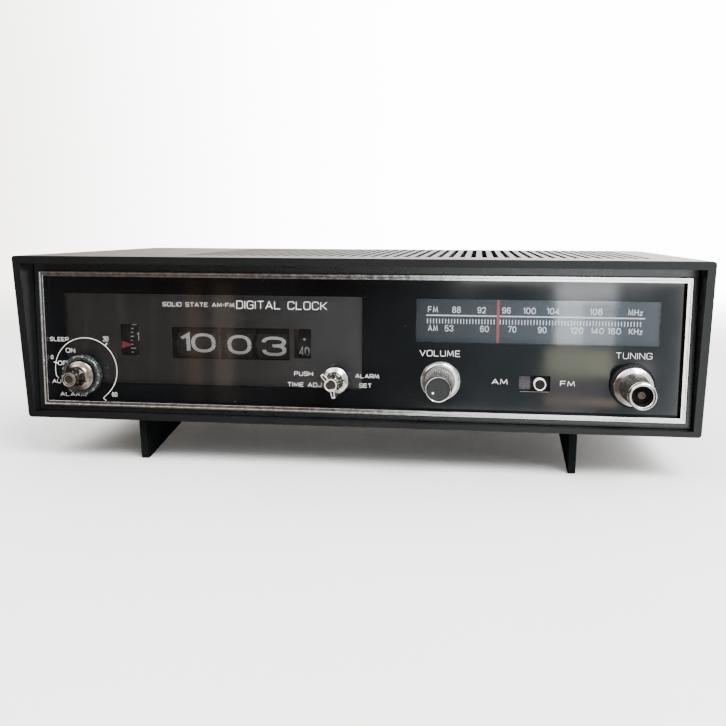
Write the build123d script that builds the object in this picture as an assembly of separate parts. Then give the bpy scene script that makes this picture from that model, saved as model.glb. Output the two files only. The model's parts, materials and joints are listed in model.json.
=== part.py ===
from build123d import *
import math
import os

# A free-standing clock radio with a leaf-drum (flip number) clock.
# Millimetres. X runs to the right, Y runs from the front to the back, Z is up.
# Depths are counted from the front plane of the chrome trim, and save() moves
# every piece by TO_ORIGIN so that the origin is under the middle of the whole box.
TO_ORIGIN = -85.0

# Cabinet
CABINET_WIDTH = 350.0
HALF_WIDTH = CABINET_WIDTH / 2
TOP = 110.0
BASE = 23.2
BACK = 195.0
RIM_TOP_FRONT = -13.9
RIM_BASE_FRONT = -3.7
WALL = 4.0
BASE_WALL = 3.0
INSIDE_HALF = HALF_WIDTH - WALL
INSIDE_TOP = TOP - WALL
INSIDE_BASE = BASE + BASE_WALL
SLOT_COUNT = 42
SLOT_PITCH = 5.9
SLOT_WIDTH = 2.7
SLOT_FIRST_X = -92.0
SLOT_FRONT = 18.0
SLOT_BACK = 182.0
SLOT_RIB_DEPTHS = (72.0, 128.0)

# Front layers, as depths
TRIM_FRONT = 0.0
BEZEL_FRONT = 1.5
PANEL_FRONT = 4.0
PANEL_BACK = 6.0
BEZEL_BACK = 8.2
MASK_FRONT = 7.6
MASK_BACK = 8.5
TRIM_HALF = 168.2
TRIM_BASE = 29.0
TRIM_TOP = 101.9
TRIM_WIDTH = 2.9
PANEL_LIP = 0.8
TRIM_CHAMFER = 0.45
GROOVE_INSET = 1.15
GROOVE_WIDTH = 0.6
GROOVE_DEPTH = 0.5

# Openings in the front panel: low x, high x, low z, high z
CLOCK_WINDOW = (-155.7, 5.4, 41.3, 89.8)
DIAL_WINDOW = (33.2, 154.3, 67.0, 89.3)
SWITCH_SLOT = (86.0, 101.6, 43.0, 51.1)

# The mask behind the clock window: its edges, and an opening for each drum
MASK_EDGES = (-160.5, 8.5, 37.0, 93.5)
MASK_OPENINGS = (
    (-126.1, -116.0, 56.2, 73.2),
    (-97.7, -72.3, 55.3, 72.3),
    (-71.2, -33.5, 55.3, 72.3),
    (-31.1, -22.1, 56.6, 72.3),
)
SELECTOR_HOLE_RADIUS = 5.4
TIME_HOLE_RADIUS = 3.4

# Control axes: x, z
VOLUME = (46.1, 47.4)
TUNING = (141.8, 47.4)
SELECTOR = (-146.3, 46.0)
TIME_SET = (-8.3, 46.5)
BAND_BUTTON = (96.3, 47.0)

# Clock movement
DIGIT_DEPTH = 16.0
SPLIT_Z = 62.0
SPOOL_RADIUS = 4.5
SPOOL_Y = DIGIT_DEPTH + SPOOL_RADIUS
LEAF_HEIGHT = 6.2
LEAF_THICK = 0.36
FLANGE_RADIUS = 5.3
FLANGE_THICK = 0.8
PIN_RADIUS = 0.3
PIN_HOLE_RADIUS = 0.36
PIN_INSET = 0.15
PIN_LENGTH = 1.5
LEAF_END_GAP = 0.12
ARBOR_RADIUS = 1.5
RUNNING_CLEARANCE = 0.06
HOUR_SPAN = (-98.0, -75.0)
TENS_SPAN = (-70.9, -55.2)
UNITS_SPAN = (-53.8, -36.0)
HOUR_LEAF_COUNT = 12
TENS_LEAF_COUNT = 12
UNITS_LEAF_COUNT = 10
SECONDS_SPAN = (-31.1, -22.8)
SECONDS_RADIUS = 12.6
SECONDS_Y = 28.6
ALARM_SPAN = (-127.0, -117.0)
ALARM_RADIUS = 25.0
ALARM_Y = 39.6
ALARM_POINTER_TIP = -120.4
ALARM_POINTER_LENGTH = 7.2
ALARM_POINTER_HALF = 2.7
ALARM_POINTER_THICK = 0.6
PLATE_LEFT = -104.4
PLATE_MIDDLE = -35.0
PLATE_RIGHT = -18.4
PLATE_THICK = 1.2
SET_SHAFT_Y = 52.0
SET_SHAFT_Z = TIME_SET[1]
CROWN_RADIUS = 7.0
CROWN_TEETH = 21
SET_PINION_TEETH = 12
ALARM_GEAR_TEETH = 36
SECONDS_GEAR_TEETH = 36
MOTOR_PINION_TEETH = 12
SECONDS_GEAR_RADIUS = 9.0
MOTOR_PINION_RADIUS = 3.0
MOTOR_AXIS = (SECONDS_Y + 12.2 / math.sqrt(2), SPLIT_Z + 12.2 / math.sqrt(2))
MOTOR_RADIUS = 14.6

# Radio
DRUM_AXIS = (100.0, 64.0)
DRUM_RADIUS = 33.7
POINTER_X = 74.7
RAIL_Y = 12.0
RAIL_Z = 95.2
SPEAKER = (32.0, 116.0)
SPEAKER_RADIUS = 45.0
TRAY_TOP = INSIDE_BASE + 1.2

# Foot runners
RUNNER_X = 114.15
RUNNER_THICK = 3.7
RUNNER_FRONT = 6.0
RUNNER_BACK = 187.0
RUNNER_ARCH = 8.6
RUNNER_RISE = 56.0
FOOT_SCREW_DEPTHS = (30.0, 163.0)

# Back
COVER_SCREW_X = 158.0
COVER_SCREW_Z = (34.0, 98.0)
CORD_HOLE = (-138.0, 40.0)


def save(name, *solids):
    """Write one node, moved so that the origin is under the middle of the box."""
    pieces = [Pos(0, TO_ORIGIN, 0) * solid for solid in solids]
    shape = pieces[0] if len(pieces) == 1 else Compound(children=pieces)
    export_step(shape, f"parts/{name}.step")


def block(x0, x1, y0, y1, z0, z1):
    """A box given by its low and high sides."""
    size = Box(x1 - x0, y1 - y0, z1 - z0)
    return Pos((x0 + x1) / 2, (y0 + y1) / 2, (z0 + z1) / 2) * size


def rod_x(y, z, radius, x0, x1):
    """A round rod along X."""
    return Pos((x0 + x1) / 2, y, z) * Rot(0, 90, 0) * Cylinder(radius, x1 - x0)


def rod_y(x, z, radius, y0, y1):
    """A round rod along Y."""
    return Pos(x, (y0 + y1) / 2, z) * Rot(90, 0, 0) * Cylinder(radius, y1 - y0)


def rod_z(x, y, radius, z0, z1):
    """A round rod along Z."""
    return Pos(x, y, (z0 + z1) / 2) * Cylinder(radius, z1 - z0)


def turned(x, z, outline):
    """A turned piece about an axis along Y, from an outline of (radius, depth)."""
    face = Polygon(*outline, align=None)
    return Pos(x, 0, z) * revolve(face, axis=Axis.Y)


def plate_yz(outline, x0, x1):
    """A flat plate across X, from an outline of (y, z)."""
    plane = Plane(origin=(x0, 0, 0), x_dir=(0, 1, 0), z_dir=(1, 0, 0))
    return extrude(plane * Polygon(*outline, align=None), amount=x1 - x0, dir=(1, 0, 0))


def toothed_outline(teeth, pitch_radius):
    """Points of a spur wheel with straight-sided teeth and easy backlash."""
    module = 2 * pitch_radius / teeth
    tip = pitch_radius + 0.75 * module
    root = pitch_radius - 1.0 * module
    step = 2 * math.pi / teeth
    points = []
    for tooth in range(teeth):
        for radius, share in ((root, -0.30), (tip, -0.11), (tip, 0.11), (root, 0.30)):
            angle = (tooth + share) * step
            points.append((radius * math.cos(angle), radius * math.sin(angle)))
    return points


def spur_x(y, z, teeth, pitch_radius, x0, x1, turn=0.0):
    """A spur wheel on an axis along X."""
    plane = Plane(origin=(x0, y, z), x_dir=(0, 1, 0), z_dir=(1, 0, 0))
    outline = Polygon(*toothed_outline(teeth, pitch_radius), align=None)
    return extrude(plane * (Rot(0, 0, turn) * outline), amount=x1 - x0, dir=(1, 0, 0))


def cabinet_shell():
    """The sleeve that wraps the set, with a raked front rim and a slotted top."""
    side = [
        (RIM_TOP_FRONT, TOP),
        (BACK, TOP),
        (BACK, BASE),
        (RIM_BASE_FRONT, BASE),
    ]
    body = plate_yz(side, -HALF_WIDTH, HALF_WIDTH)
    body = fillet(body.edges().filter_by(lambda e: abs(e.center().X) > HALF_WIDTH - 0.1
                                         and e.length > 150), 1.6)
    hollow = block(-INSIDE_HALF, INSIDE_HALF, -40, BACK + 1, INSIDE_BASE, INSIDE_TOP)
    body -= hollow
    slots = []
    for index in range(SLOT_COUNT):
        x = SLOT_FIRST_X + index * SLOT_PITCH
        slots.append(block(x - SLOT_WIDTH / 2, x + SLOT_WIDTH / 2, SLOT_FRONT, SLOT_BACK,
                           INSIDE_TOP - 1, TOP + 1))
    body -= slots
    last_x = SLOT_FIRST_X + (SLOT_COUNT - 1) * SLOT_PITCH
    for depth in SLOT_RIB_DEPTHS:
        body += block(SLOT_FIRST_X - 4, last_x + 4, depth, depth + 2,
                      INSIDE_TOP - 2.5, INSIDE_TOP + 0.6)
    for x in (-RUNNER_X, RUNNER_X):
        for depth in FOOT_SCREW_DEPTHS:
            body -= rod_z(x, depth, 1.3, BASE - 1, INSIDE_BASE + 1)
    return body


def foot_runner(x):
    """One thin side runner: two points touch the table and an arch joins them."""
    y0 = RUNNER_FRONT
    y1 = RUNNER_BACK
    outline = [
        (y0 - 2.4, BASE),
        (y0, 0.6),
        (y0 + 0.6, 0),
        (y0 + 3.4, 0),
        (y0 + 3.4 + RUNNER_RISE, RUNNER_ARCH),
        (y1 - 3.4 - RUNNER_RISE, RUNNER_ARCH),
        (y1 - 3.4, 0),
        (y1 - 0.6, 0),
        (y1, 0.6),
        (y1 + 2.4, BASE),
    ]
    runner = plate_yz(outline, x - RUNNER_THICK / 2, x + RUNNER_THICK / 2)
    for depth in FOOT_SCREW_DEPTHS:
        runner -= rod_z(x, depth, 1.05, BASE - 9, BASE + 1)
    return runner


def cabinet_screws():
    """Four foot screws from inside the cabinet and four rear cover screws."""
    screws = []
    for x in (-RUNNER_X, RUNNER_X):
        for depth in FOOT_SCREW_DEPTHS:
            head = rod_z(x, depth, 2.4, INSIDE_BASE, INSIDE_BASE + 1.1)
            screws.append(head + rod_z(x, depth, 1.0, BASE - 7, INSIDE_BASE))
    for x in (-COVER_SCREW_X, COVER_SCREW_X):
        for z in COVER_SCREW_Z:
            head = rod_y(x, z, 3.0, BACK - 1.0, BACK + 1.0)
            screws.append(head + rod_y(x, z, 1.4, BACK - 9.0, BACK - 1.0))
    return screws


def rear_cover():
    """The back panel, let into the sleeve, with vents and screw bosses."""
    cover = block(-INSIDE_HALF + 0.2, INSIDE_HALF - 0.2, BACK - 4.5, BACK - 1.0,
                  INSIDE_BASE + 0.2, INSIDE_TOP - 0.2)
    vents = []
    for row in range(5):
        z = 50.0 + row * 8.0
        for column in range(6):
            x = -95.0 + column * 38.0
            vents.append(block(x - 14, x + 14, BACK - 6, BACK, z - 1.3, z + 1.3))
    cover -= vents
    for x in (-COVER_SCREW_X, COVER_SCREW_X):
        for z in COVER_SCREW_Z:
            cover += rod_y(x, z, 4.5, BACK - 12.0, BACK - 4.5)
            cover -= rod_y(x, z, 1.45, BACK - 13.0, BACK + 1.0)
    cover -= rod_y(*CORD_HOLE, 5.0, BACK - 6, BACK)
    return cover


def power_cord_gland():
    """The bush in the back that the mains lead passes through."""
    gland = rod_y(*CORD_HOLE, 4.95, BACK - 7.0, BACK - 1.0)
    gland += rod_y(*CORD_HOLE, 7.0, BACK - 1.0, BACK + 3.0)
    gland -= rod_y(*CORD_HOLE, 3.2, BACK - 8.0, BACK + 4.0)
    return gland


def chassis_tray():
    """The folded metal tray on the cabinet floor that carries the works."""
    tray = block(-160, 166, 14, 186, INSIDE_BASE + 0.2, TRAY_TOP)
    for x in (-RUNNER_X, RUNNER_X):
        for depth in FOOT_SCREW_DEPTHS:
            tray -= rod_z(x, depth, 4.0, INSIDE_BASE - 1, TRAY_TOP + 1)
    tray += block(-150, 150, 184.8, 186, TRAY_TOP - 0.2, TRAY_TOP + 6)
    return tray


def front_bezel():
    """The black frame between the cabinet rim and the trim, with a ledge behind."""
    bezel = block(-INSIDE_HALF + 0.15, INSIDE_HALF - 0.15, BEZEL_FRONT, BEZEL_BACK,
                  INSIDE_BASE + 0.15, INSIDE_TOP - 0.15)
    half = TRIM_HALF - TRIM_WIDTH + PANEL_LIP
    bezel -= block(-half, half, BEZEL_FRONT - 1, PANEL_BACK,
                   TRIM_BASE + TRIM_WIDTH - PANEL_LIP, TRIM_TOP - TRIM_WIDTH + PANEL_LIP)
    bezel -= block(-163, 163, PANEL_BACK - 1, BEZEL_BACK + 1, 34.5, 96.5)
    return bezel


def chrome_trim():
    """The bright frame round the panel: two ridges with a groove between them."""
    half = TRIM_HALF
    inner = half - TRIM_WIDTH
    low = TRIM_BASE
    high = TRIM_TOP
    trim = block(-half, half, TRIM_FRONT, BEZEL_FRONT, low, high)
    trim = chamfer(trim.faces().sort_by(Axis.Y)[0].edges(), TRIM_CHAMFER)
    lip = PANEL_LIP
    trim += block(-inner - lip, inner + lip, BEZEL_FRONT, PANEL_FRONT,
                  low + TRIM_WIDTH - lip, high - TRIM_WIDTH + lip)
    trim -= block(-inner, inner, TRIM_FRONT - 1, PANEL_FRONT + 1,
                  low + TRIM_WIDTH, high - TRIM_WIDTH)
    inset = GROOVE_INSET
    groove = block(-half + inset, half - inset, TRIM_FRONT - 1, TRIM_FRONT + GROOVE_DEPTH,
                   low + inset, high - inset)
    inset += GROOVE_WIDTH
    groove -= block(-half + inset, half - inset, TRIM_FRONT - 2, TRIM_FRONT + 2,
                    low + inset, high - inset)
    return trim - groove


def front_panel():
    """The glossy black panel, with its window and control openings."""
    half = TRIM_HALF - TRIM_WIDTH + PANEL_LIP
    panel = block(-half, half, PANEL_FRONT, PANEL_BACK,
                  TRIM_BASE + TRIM_WIDTH - PANEL_LIP, TRIM_TOP - TRIM_WIDTH + PANEL_LIP)
    for x0, x1, z0, z1 in (CLOCK_WINDOW, DIAL_WINDOW, SWITCH_SLOT):
        panel -= block(x0, x1, PANEL_FRONT - 1, PANEL_BACK + 1, z0, z1)
    for x, z in (VOLUME, TUNING):
        panel -= rod_y(x, z, 3.6, PANEL_FRONT - 1, PANEL_BACK + 1)
    return panel


def clock_window():
    """The smoked lens over the clock, with holes for its two control shafts."""
    x0, x1, z0, z1 = CLOCK_WINDOW
    lens = block(x0, x1, PANEL_FRONT, PANEL_BACK, z0, z1)
    lens -= rod_y(*SELECTOR, 5.0, PANEL_FRONT - 1, PANEL_BACK + 1)
    lens -= rod_y(*TIME_SET, 3.0, PANEL_FRONT - 1, PANEL_BACK + 1)
    return lens


def dial_window():
    """The lens over the tuning scale."""
    x0, x1, z0, z1 = DIAL_WINDOW
    return block(x0, x1, PANEL_FRONT, PANEL_BACK, z0, z1)


def digit_mask():
    """The dark plate behind the clock lens, with an opening for each drum."""
    x0, x1, z0, z1 = MASK_EDGES
    mask = block(x0, x1, MASK_FRONT, MASK_BACK, z0, z1)
    for x0, x1, z0, z1 in MASK_OPENINGS:
        mask -= block(x0, x1, MASK_FRONT - 1, MASK_BACK + 1, z0, z1)
    mask -= rod_y(*SELECTOR, SELECTOR_HOLE_RADIUS, MASK_FRONT - 1, MASK_BACK + 1)
    mask -= rod_y(*TIME_SET, TIME_HOLE_RADIUS, MASK_FRONT - 1, MASK_BACK + 1)
    return mask


def alarm_pointer():
    """The red pointer fixed beside the alarm drum."""
    left = ALARM_POINTER_TIP - ALARM_POINTER_LENGTH
    outline = Polygon((left, SPLIT_Z - ALARM_POINTER_HALF), (ALARM_POINTER_TIP, SPLIT_Z),
                      (left, SPLIT_Z + ALARM_POINTER_HALF), align=None)
    plane = Plane(origin=(0, MASK_BACK + ALARM_POINTER_THICK, 0), x_dir=(1, 0, 0),
                  z_dir=(0, -1, 0))
    return extrude(plane * outline, amount=ALARM_POINTER_THICK, dir=(0, -1, 0))


def dial_backing():
    """The black plate behind the tuning pointer."""
    return block(30.0, 159.0, 10.2, 11.0, 63.5, 92.0)


def pointer_rail():
    """The rod that the tuning pointer slides on, in two end brackets."""
    rail = rod_x(RAIL_Y, RAIL_Z, 0.9, 31.0, 161.0)
    for x in (31.0, 159.4):
        rail += block(x, x + 1.6, BEZEL_BACK, RAIL_Y + 3.0, RAIL_Z - 3.0, RAIL_Z + 3.0)
    return rail


def dial_pointer():
    """The red needle and its slider on the rail."""
    slider = block(POINTER_X - 4, POINTER_X + 4, RAIL_Y - 2.2, RAIL_Y + 2.2,
                   RAIL_Z - 2.0, RAIL_Z + 2.0)
    slider -= rod_x(RAIL_Y, RAIL_Z, 0.96, POINTER_X - 5, POINTER_X + 5)
    arm = block(POINTER_X - 0.7, POINTER_X + 0.7, 8.7, RAIL_Y - 2.2, 93.0, RAIL_Z + 1.0)
    needle = block(POINTER_X - 0.7, POINTER_X + 0.7, 8.7, 9.3, 65.0, RAIL_Z + 1.0)
    return slider + arm + needle


def clock_frame_plates():
    """The three upright plates of the clock movement."""
    outline = [(13.0, 50.0), (13.0, 76.0), (17.0, 92.0), (60.0, 92.0), (60.0, 38.0), (17.0, 38.0)]
    plates = []
    for x in (PLATE_LEFT, PLATE_MIDDLE, PLATE_RIGHT):
        plate = plate_yz(outline, x, x + PLATE_THICK)
        if x != PLATE_RIGHT:
            plate -= rod_x(SPOOL_Y, SPLIT_Z, ARBOR_RADIUS, x - 1, x + 3)
        plate -= rod_x(SET_SHAFT_Y, SET_SHAFT_Z, ARBOR_RADIUS + RUNNING_CLEARANCE, x - 1, x + 3)
        for y, z in PILLARS:
            plate -= rod_x(y, z, 1.2, x - 1, x + 3)
        plates.append(plate)
    left, middle, right = plates
    left -= rod_x(ALARM_Y, SPLIT_Z, 2.0, PLATE_LEFT - 1, PLATE_LEFT + 3)
    right -= rod_x(SECONDS_Y, SPLIT_Z, ARBOR_RADIUS + RUNNING_CLEARANCE,
                   PLATE_RIGHT - 1, PLATE_RIGHT + 3)
    right -= rod_x(*MOTOR_AXIS, 4.2, PLATE_RIGHT - 1, PLATE_RIGHT + 3)
    return [left, middle, right]


PILLARS = ((56.0, 42.0), (56.0, 88.0), (20.0, 86.0), (20.0, 43.0))


def frame_pillars():
    """Four pillars that hold the plates apart, stepped where they pass through one."""
    pillars = []
    for y, z in PILLARS:
        pillar = rod_x(y, z, 2.0, PLATE_LEFT + PLATE_THICK, PLATE_MIDDLE)
        pillar += rod_x(y, z, 2.0, PLATE_MIDDLE + PLATE_THICK, PLATE_RIGHT)
        pillar += rod_x(y, z, 1.2, PLATE_LEFT - 0.8, PLATE_RIGHT + PLATE_THICK + 0.8)
        pillars.append(pillar)
    return pillars


def clock_arbors():
    """The fixed arbor of the three digit drums and the stub of the alarm drum."""
    main = rod_x(SPOOL_Y, SPLIT_Z, ARBOR_RADIUS, PLATE_LEFT - 1.5, PLATE_MIDDLE + 2.0)
    stub = rod_x(ALARM_Y, SPLIT_Z, 2.0, -130.0, PLATE_LEFT + 2.7)
    return [main, stub]


def pivot_place(angle):
    """The y and z of a leaf pivot: angle 0 is at the front and 90 is at the top."""
    turn = math.radians(angle)
    return SPOOL_Y - SPOOL_RADIUS * math.cos(turn), SPLIT_Z + SPOOL_RADIUS * math.sin(turn)


def digit_drum(span, leaf_count):
    """A spool: a tube between two flanges that are drilled for the leaf pins."""
    x0, x1 = span
    drum = rod_x(SPOOL_Y, SPLIT_Z, 2.6, x0, x1)
    for x in (x0, x1 - FLANGE_THICK):
        drum += rod_x(SPOOL_Y, SPLIT_Z, FLANGE_RADIUS, x, x + FLANGE_THICK)
    drum -= rod_x(SPOOL_Y, SPLIT_Z, ARBOR_RADIUS + RUNNING_CLEARANCE, x0 - 1, x1 + 1)
    holes = []
    for index in range(leaf_count):
        y, z = pivot_place(index * 360 / leaf_count)
        holes.append(rod_x(y, z, PIN_HOLE_RADIUS, x0 - 1, x1 + 1))
    return drum - holes


def leaf(span, angle, lean, below, above):
    """One number leaf: a plate with a short pin at each end. lean 90 is upright."""
    x0, x1 = span
    y, z = pivot_place(angle)
    gap = FLANGE_THICK + LEAF_END_GAP
    made = block(x0 + gap, x1 - gap, -LEAF_THICK / 2, LEAF_THICK / 2, -below, above)
    for start in (x0 + PIN_INSET, x1 - PIN_INSET - PIN_LENGTH):
        made += rod_x(0, 0, PIN_RADIUS, start, start + PIN_LENGTH)
    return Pos(0, y, z) * Rot(lean - 90, 0, 0) * made


def drum_leaves(span, leaf_count):
    """Every leaf of a drum but the one that is about to fall."""
    step = 360 / leaf_count
    leaves = []
    for index in range(1, leaf_count):
        angle = index * step
        if angle > 180:
            angle -= 360
        if angle >= 0:
            direction = -(90 + 0.6 * (angle - step)) if index > 1 else -90
        else:
            direction = 90 + 0.6 * (-angle - step)
        rise = SPOOL_RADIUS * math.sin(math.radians(step))
        below = rise - 0.05 if index in (1, leaf_count - 1) else 0.3
        lean = 180 + direction if angle >= 0 else direction + 180
        leaves.append(leaf(span, angle, lean, below, LEAF_HEIGHT - rise))
    return leaves


def falling_leaf(span):
    """The upper leaf that drops forward on its pins."""
    return leaf(span, 0, 90, 0.0, LEAF_HEIGHT)


def seconds_drum():
    """The seconds drum with its arbor and driven wheel in one."""
    x0, x1 = SECONDS_SPAN
    drum = rod_x(SECONDS_Y, SPLIT_Z, SECONDS_RADIUS, x0, x1)
    drum -= rod_x(SECONDS_Y, SPLIT_Z, SECONDS_RADIUS - 1.2, x0 - 1, x1 - 1.2)
    drum += rod_x(SECONDS_Y, SPLIT_Z, 3.2, x0, x1)
    drum += rod_x(SECONDS_Y, SPLIT_Z, ARBOR_RADIUS, x0, PLATE_RIGHT + PLATE_THICK + 0.6)
    drum += rod_x(SECONDS_Y, SPLIT_Z, 2.6, x1 - 0.2, -21.0)
    drum += spur_x(SECONDS_Y, SPLIT_Z, SECONDS_GEAR_TEETH, SECONDS_GEAR_RADIUS, -21.2, -19.6)
    return drum


def motor_pinion():
    """The motor's output pinion, set between two teeth of the driven wheel."""
    y, z = MOTOR_AXIS
    pinion = spur_x(y, z, MOTOR_PINION_TEETH, MOTOR_PINION_RADIUS, -21.4, -19.4, 225)
    return pinion + rod_x(y, z, 1.0, -19.6, -15.2)


def clock_motor():
    """The synchronous clock motor behind the right plate."""
    y, z = MOTOR_AXIS
    motor = rod_x(y, z, MOTOR_RADIUS, -15.0, 1.5)
    motor += rod_x(y, z, 4.0, PLATE_RIGHT + PLATE_THICK + 0.1, -14.0)
    motor -= rod_x(y, z, 1.06, PLATE_RIGHT, -12.0)
    motor += block(PLATE_RIGHT + PLATE_THICK, -15.0, y + 9, y + 13, z - 5, z + 5)
    return motor


def alarm_drum():
    """The twelve-hour alarm drum with its wheel."""
    x0, x1 = ALARM_SPAN
    drum = rod_x(ALARM_Y, SPLIT_Z, ALARM_RADIUS, x0, x1)
    drum -= rod_x(ALARM_Y, SPLIT_Z, ALARM_RADIUS - 1.5, x0 - 1, x1 - 1.5)
    drum += rod_x(ALARM_Y, SPLIT_Z, 4.0, x0, -113.4)
    toward = math.degrees(math.atan2(SET_SHAFT_Z - SPLIT_Z, SET_SHAFT_Y - ALARM_Y))
    drum += spur_x(ALARM_Y, SPLIT_Z, ALARM_GEAR_TEETH, ALARM_GEAR_RADIUS, -115.4, -113.6,
                   toward)
    return drum - rod_x(ALARM_Y, SPLIT_Z, 2.0 + RUNNING_CLEARANCE, x0 - 1, -112)


SET_DISTANCE = math.hypot(SET_SHAFT_Y - ALARM_Y, SPLIT_Z - SET_SHAFT_Z)
TEETH_SUM = ALARM_GEAR_TEETH + SET_PINION_TEETH
ALARM_GEAR_RADIUS = (SET_DISTANCE - 0.25) * ALARM_GEAR_TEETH / TEETH_SUM
SET_PINION_RADIUS = (SET_DISTANCE - 0.25) * SET_PINION_TEETH / TEETH_SUM


def set_shaft():
    """The long shaft that carries the setting motion to the alarm drum."""
    shaft = rod_x(SET_SHAFT_Y, SET_SHAFT_Z, ARBOR_RADIUS, -116.5, -11.8)
    toward = math.degrees(math.atan2(SPLIT_Z - SET_SHAFT_Z, ALARM_Y - SET_SHAFT_Y))
    turn = toward + 180 / SET_PINION_TEETH
    shaft += spur_x(SET_SHAFT_Y, SET_SHAFT_Z, SET_PINION_TEETH, SET_PINION_RADIUS,
                    -116.0, -113.0, turn)
    shaft += spur_x(SET_SHAFT_Y, SET_SHAFT_Z, SET_PINION_TEETH, 4.0, -15.9, -14.7, 180)
    return shaft


def setting_gear():
    """The crown wheel and its sleeve, which turn with the time knob."""
    x, z = TIME_SET
    top = SET_SHAFT_Y - 4.0 - 0.75
    wheel = rod_y(x, z, CROWN_RADIUS + 1.4, top - 2.2, top - 0.3)
    wheel += rod_y(x, z, 3.6, 24.0, top - 0.3)
    for index in range(CROWN_TEETH):
        turn = index * 360 / CROWN_TEETH
        tooth = block(CROWN_RADIUS - 1.6, CROWN_RADIUS + 1.4, top - 0.4, top + 0.75, -0.42, 0.42)
        wheel += Pos(x, 0, z) * Rot(0, turn, 0) * tooth
    return wheel - rod_y(x, z, 2.06, 20.0, top + 2)


def time_set_knob():
    """The bright wing knob and its shaft, which turns and pushes in."""
    x, z = TIME_SET
    knob = turned(x, z, trumpet_outline(7.0))
    wing = block(-1.3, 1.3, -13.2, 0.5, -6.7, 6.7)
    knob += Pos(x, 0, z) * Rot(0, 10, 0) * wing
    knob -= rod_y(x, z, 2.6, -14.5, -12.6)
    return knob + rod_y(x, z, 2.0, 0.0, 47.0)


def trumpet_outline(radius):
    """A disc that flares into a slim barrel, as (radius, depth) points."""
    return [
        (0, 0.6),
        (radius, 0.6),
        (radius, -0.4),
        (radius * 0.80, -1.0),
        (radius * 0.62, -2.6),
        (3.6, -5.5),
        (3.2, -9.0),
        (3.1, -13.6),
        (0, -13.6),
    ]


def selector_knob():
    """The bright function knob and its shaft."""
    x, z = SELECTOR
    knob = turned(x, z, trumpet_outline(7.4))
    knob -= rod_y(x, z, 2.6, -14.5, -12.9)
    return knob + rod_y(x, z, 2.0, 0.0, 27.0)


def sleep_ring():
    """The notched ring round the function knob, on its own sleeve."""
    x, z = SELECTOR
    ring = rod_y(x, z, 10.8, -0.6, 3.2) - rod_y(x, z, 8.2, -2.0, 1.6)
    notches = []
    for index in range(14):
        notch = block(10.1, 12.0, -2.0, 4.0, -0.5, 0.5)
        notches.append(Pos(x, 0, z) * Rot(0, index * 360 / 14 + 6, 0) * notch)
    ring -= notches
    ring += rod_y(x, z, 3.6, 3.0, 22.0)
    return ring - rod_y(x, z, 2.06, 0.0, 23.0)


def selector_switch():
    """The function switch and sleep timer, on one bracket."""
    x, z = SELECTOR
    box = block(x - 11, x + 11, 12.0, 40.0, z - 11, z + 14)
    box -= rod_y(x, z, 3.68, 11.0, 24.0)
    box -= rod_y(x, z, 2.08, 23.0, 30.0)
    return box + block(x - 11, x + 11, 26.0, 40.0, TRAY_TOP, z - 11)


def volume_knob():
    """The dark tapered body of the volume knob, with its shaft."""
    body = turned(*VOLUME, [
        (0, 1.6),
        (7.6, 1.6),
        (6.9, -20.6),
        (5.6, -20.6),
        (5.6, -20.0),
        (0, -20.0),
    ])
    return body + rod_y(*VOLUME, 3.0, 1.0, 20.0)


def volume_trim():
    """The bright skirt and front ring of the volume knob."""
    skirt = turned(*VOLUME, [(0, 3.2), (10.2, 3.2), (10.2, 2.4), (8.8, 1.6), (0, 1.6)])
    skirt -= rod_y(*VOLUME, 3.0, 0.0, 5.0)
    ring = turned(*VOLUME, [(5.6, -20.6), (6.9, -20.6), (6.9, -21.6), (5.9, -22.0), (5.6, -22.0)])
    return [skirt, ring]


def volume_potentiometer():
    """The volume control behind the panel."""
    x, z = VOLUME
    body = rod_y(x, z, 8.5, 13.0, 24.0) + rod_y(x, z, 4.6, 8.6, 13.0)
    body += block(x - 9, x + 9, 12.0, 13.4, TRAY_TOP, z + 7)
    return body - rod_y(x, z, 3.06, 8.0, 21.0)


def tuning_knob():
    """The dark skirt and knurled body of the tuning knob."""
    return turned(*TUNING, [
        (0, 3.4),
        (11.0, 3.4),
        (11.0, 1.4),
        (10.4, 0.4),
        (7.5, 0.4),
        (7.5, -4.0),
        (7.1, -24.0),
        (4.8, -24.0),
        (4.8, -21.0),
        (1.8, -21.0),
        (1.8, -24.2),
        (0, -24.2),
    ])


def tuning_trim():
    """The bright flange and front ring of the tuning knob."""
    flange = turned(*TUNING, [(7.5, 0.4), (9.9, 0.4), (9.9, -3.2), (9.0, -4.0), (7.5, -4.0)])
    ring = turned(*TUNING, [(4.8, -24.0), (7.1, -24.0), (7.2, -25.0), (6.6, -28.0), (4.8, -28.0)])
    return [flange, ring]


def tuning_shaft():
    """The tuning spindle, waisted where the dial cord wraps round it."""
    x, z = TUNING
    shaft = rod_y(x, z, 3.0, 3.4, 48.0)
    shaft += rod_y(x, z, 4.4, 26.5, 28.0)
    return shaft + rod_y(x, z, 4.4, 33.0, 34.5)


def cord_drum():
    """The large grooved wheel on the capacitor's spindle."""
    x, z = DRUM_AXIS
    drum = rod_y(x, z, DRUM_RADIUS, 28.5, 33.0) - rod_y(x, z, DRUM_RADIUS - 3, 27, 31.4)
    drum += rod_y(x, z, 6.0, 28.5, 33.0)
    for angle in (30, 150, 270):
        turn = math.radians(angle)
        drum -= rod_y(x + 18 * math.cos(turn), z + 18 * math.sin(turn), 7.0, 27, 34)
    return drum - rod_y(x, z, 2.5, 27, 35)


def capacitor_rotor():
    """The spindle and half-round moving plates of the tuning capacitor."""
    x, z = DRUM_AXIS
    rotor = rod_y(x, z, 2.5, 26.0, 62.6)
    for index in range(5):
        depth = 43.0 + index * 3.4
        half = rod_y(x, z, 13.0, depth, depth + 1.0)
        half -= block(x - 20, x + 20, depth - 1, depth + 2, z - 20, z - 3.0)
        rotor += half
    return rotor


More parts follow.
